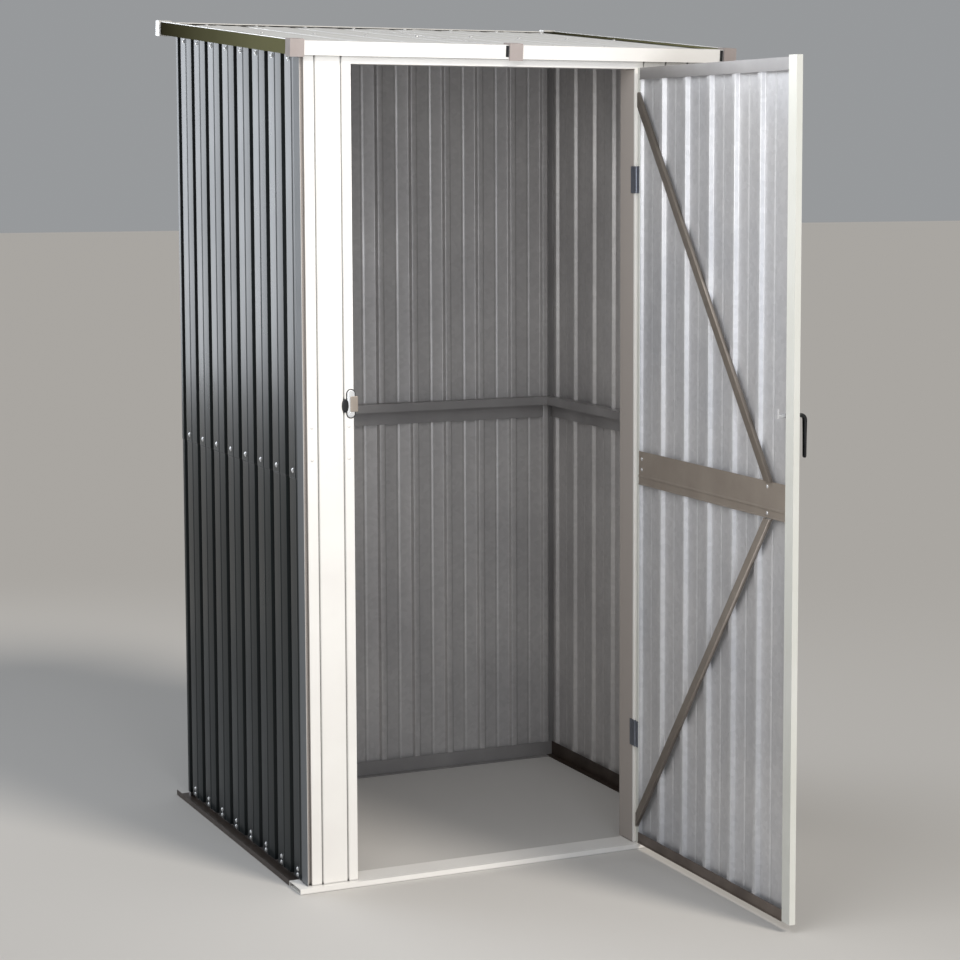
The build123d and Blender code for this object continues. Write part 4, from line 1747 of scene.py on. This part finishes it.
@dataclass(frozen=True)
class SoftBox:
    """A flat studio lamp with an even face. Its spread is the angle that its light fans out in."""

    name: str
    place: Place
    aim: Place
    size: Point
    watts: float
    colour: str = "ffffff"
    spread: float = 180.0

    def build(self) -> bpy.types.Object:
        """Make the lamp, unseen by the camera.

        Returns:
            The lamp object.
        """
        light = bpy.data.lights.new(self.name, "AREA")
        light.shape = "RECTANGLE"
        light.size, light.size_y = self.size
        light.energy = self.watts
        light.spread = math.radians(self.spread)
        light.color = linear_rgb(self.colour)[:3]
        lamp = bpy.data.objects.new(self.name, light)
        bpy.context.scene.collection.objects.link(lamp)
        lamp.location = self.place
        way = Vector(self.aim) - Vector(self.place)
        lamp.rotation_euler = way.to_track_quat("-Z", "Y").to_euler()
        lamp.visible_camera = False
        return lamp


@dataclass
class Studio:
    """Floor, light and the camera at the photograph's viewpoint."""

    sun_azimuth: float = 22.0
    sun_height: float = 41.0
    sun_softness: float = 14.0
    sun_strength: float = 1.77
    sky_strength: float = 0.40
    fill: SoftBox = SoftBox(
        name="door_fill",
        place=(-0.44, -0.75, 1.5),
        aim=(0.25, -0.40, 1.2),
        size=(0.8, 1.2),
        watts=8.0,
    )
    side: SoftBox = SoftBox(
        name="sky_side",
        place=(-2.0, 3.1, 1.72),
        aim=(-0.42, 0.35, 1.2),
        size=(3.2, 2.3),
        watts=25.0,
        colour="eef3fa",
        spread=80.0,
    )
    low: SoftBox = SoftBox(
        name="doorway_fill",
        place=(-0.35, -2.6, 0.9),
        aim=(0.0, 0.7, 0.5),
        size=(0.7, 0.7),
        watts=9.0,
        colour="eaf0fa",
    )
    sun_colour: str = "fff7ec"
    sky_colour: str = "e4e7ea"
    floor_colour: str = "c9c7c4"
    floor_roughness: float = 0.8
    floor_reach: float = 40.0
    floor_drop: float = 0.0005
    camera_place: Place = (-1.846, -4.0853, 1.3146)
    camera_yaw: float = 0.4493
    camera_pitch: float = -0.0997
    lens: float = 91.27
    sensor: float = 36.0
    shift: Point = (-0.10, -0.08)

    def build_floor(self) -> None:
        """Make the plain pale floor, a hair under the shed."""
        floor_mesh = bpy.data.meshes.new("floor")
        reach = self.floor_reach
        corners = [(-reach, -reach, 0), (reach, -reach, 0), (reach, reach, 0), (-reach, reach, 0)]
        floor_mesh.from_pydata(corners, [], [(0, 1, 2, 3)])
        floor = bpy.data.objects.new("floor", floor_mesh)
        floor.location.z = -self.floor_drop
        bpy.context.scene.collection.objects.link(floor)
        material = bpy.data.materials.new("pale_studio_floor")
        material.use_nodes = True
        shader = material.node_tree.nodes["Principled BSDF"]
        shader.inputs["Base Color"].default_value = linear_rgb(self.floor_colour)
        shader.inputs["Roughness"].default_value = self.floor_roughness
        floor_mesh.materials.append(material)

    def build_sky(self) -> None:
        """Make the even sky behind and above the shed."""
        world = bpy.data.worlds.new("sky")
        world.use_nodes = True
        back = world.node_tree.nodes["Background"]
        back.inputs["Color"].default_value = linear_rgb(self.sky_colour)
        back.inputs["Strength"].default_value = self.sky_strength
        bpy.context.scene.world = world

    def build_sun(self) -> None:
        """Make the broad main light, high in front and a little to the right."""
        light = bpy.data.lights.new("main_light", "SUN")
        light.energy = self.sun_strength
        light.angle = math.radians(self.sun_softness)
        light.color = linear_rgb(self.sun_colour)[:3]
        lamp = bpy.data.objects.new("main_light", light)
        bpy.context.scene.collection.objects.link(lamp)
        tilt = math.radians(90 - self.sun_height)
        lamp.rotation_euler = (tilt, 0.0, math.radians(self.sun_azimuth))

    def build_camera(self) -> None:
        """Make the camera."""
        data = bpy.data.cameras.new("camera")
        data.lens = self.lens
        data.sensor_width = self.sensor
        data.shift_x, data.shift_y = self.shift
        camera = bpy.data.objects.new("camera", data)
        camera.location = self.camera_place
        way = Vector(
            (
                math.sin(self.camera_yaw) * math.cos(self.camera_pitch),
                math.cos(self.camera_yaw) * math.cos(self.camera_pitch),
                math.sin(self.camera_pitch),
            )
        )
        camera.rotation_mode = "QUATERNION"
        camera.rotation_quaternion = way.to_track_quat("-Z", "Y")
        bpy.context.scene.collection.objects.link(camera)
        bpy.context.scene.camera = camera

    def build(self) -> None:
        """Make the floor, the lamps, the sky and the camera."""
        self.build_floor()
        for lamp in (self.fill, self.side, self.low):
            lamp.build()
        self.build_sun()
        self.build_sky()
        bpy.context.scene.view_settings.view_transform = "Standard"
        self.build_camera()


def main() -> None:
    """Load the frame, dress and build every piece, light the scene and report."""
    logging.basicConfig(level=logging.INFO, format="%(message)s")
    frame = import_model()
    palette = Palette()
    dressed = dress_nodes(frame["nodes"], palette)
    sizes = ShedSizes()
    for group_class in (Walls, Roof, FrontFrame, Door):
        group = group_class(palette, sizes)
        group.build()
        for piece in group.pieces:
            LOG.info("%s: %s, %d faces", type(group).__name__, piece.name, len(piece.data.polygons))
    Studio().build()
    LOG.info("%d nodes dressed", dressed)


if __name__ == "__main__":
    main()
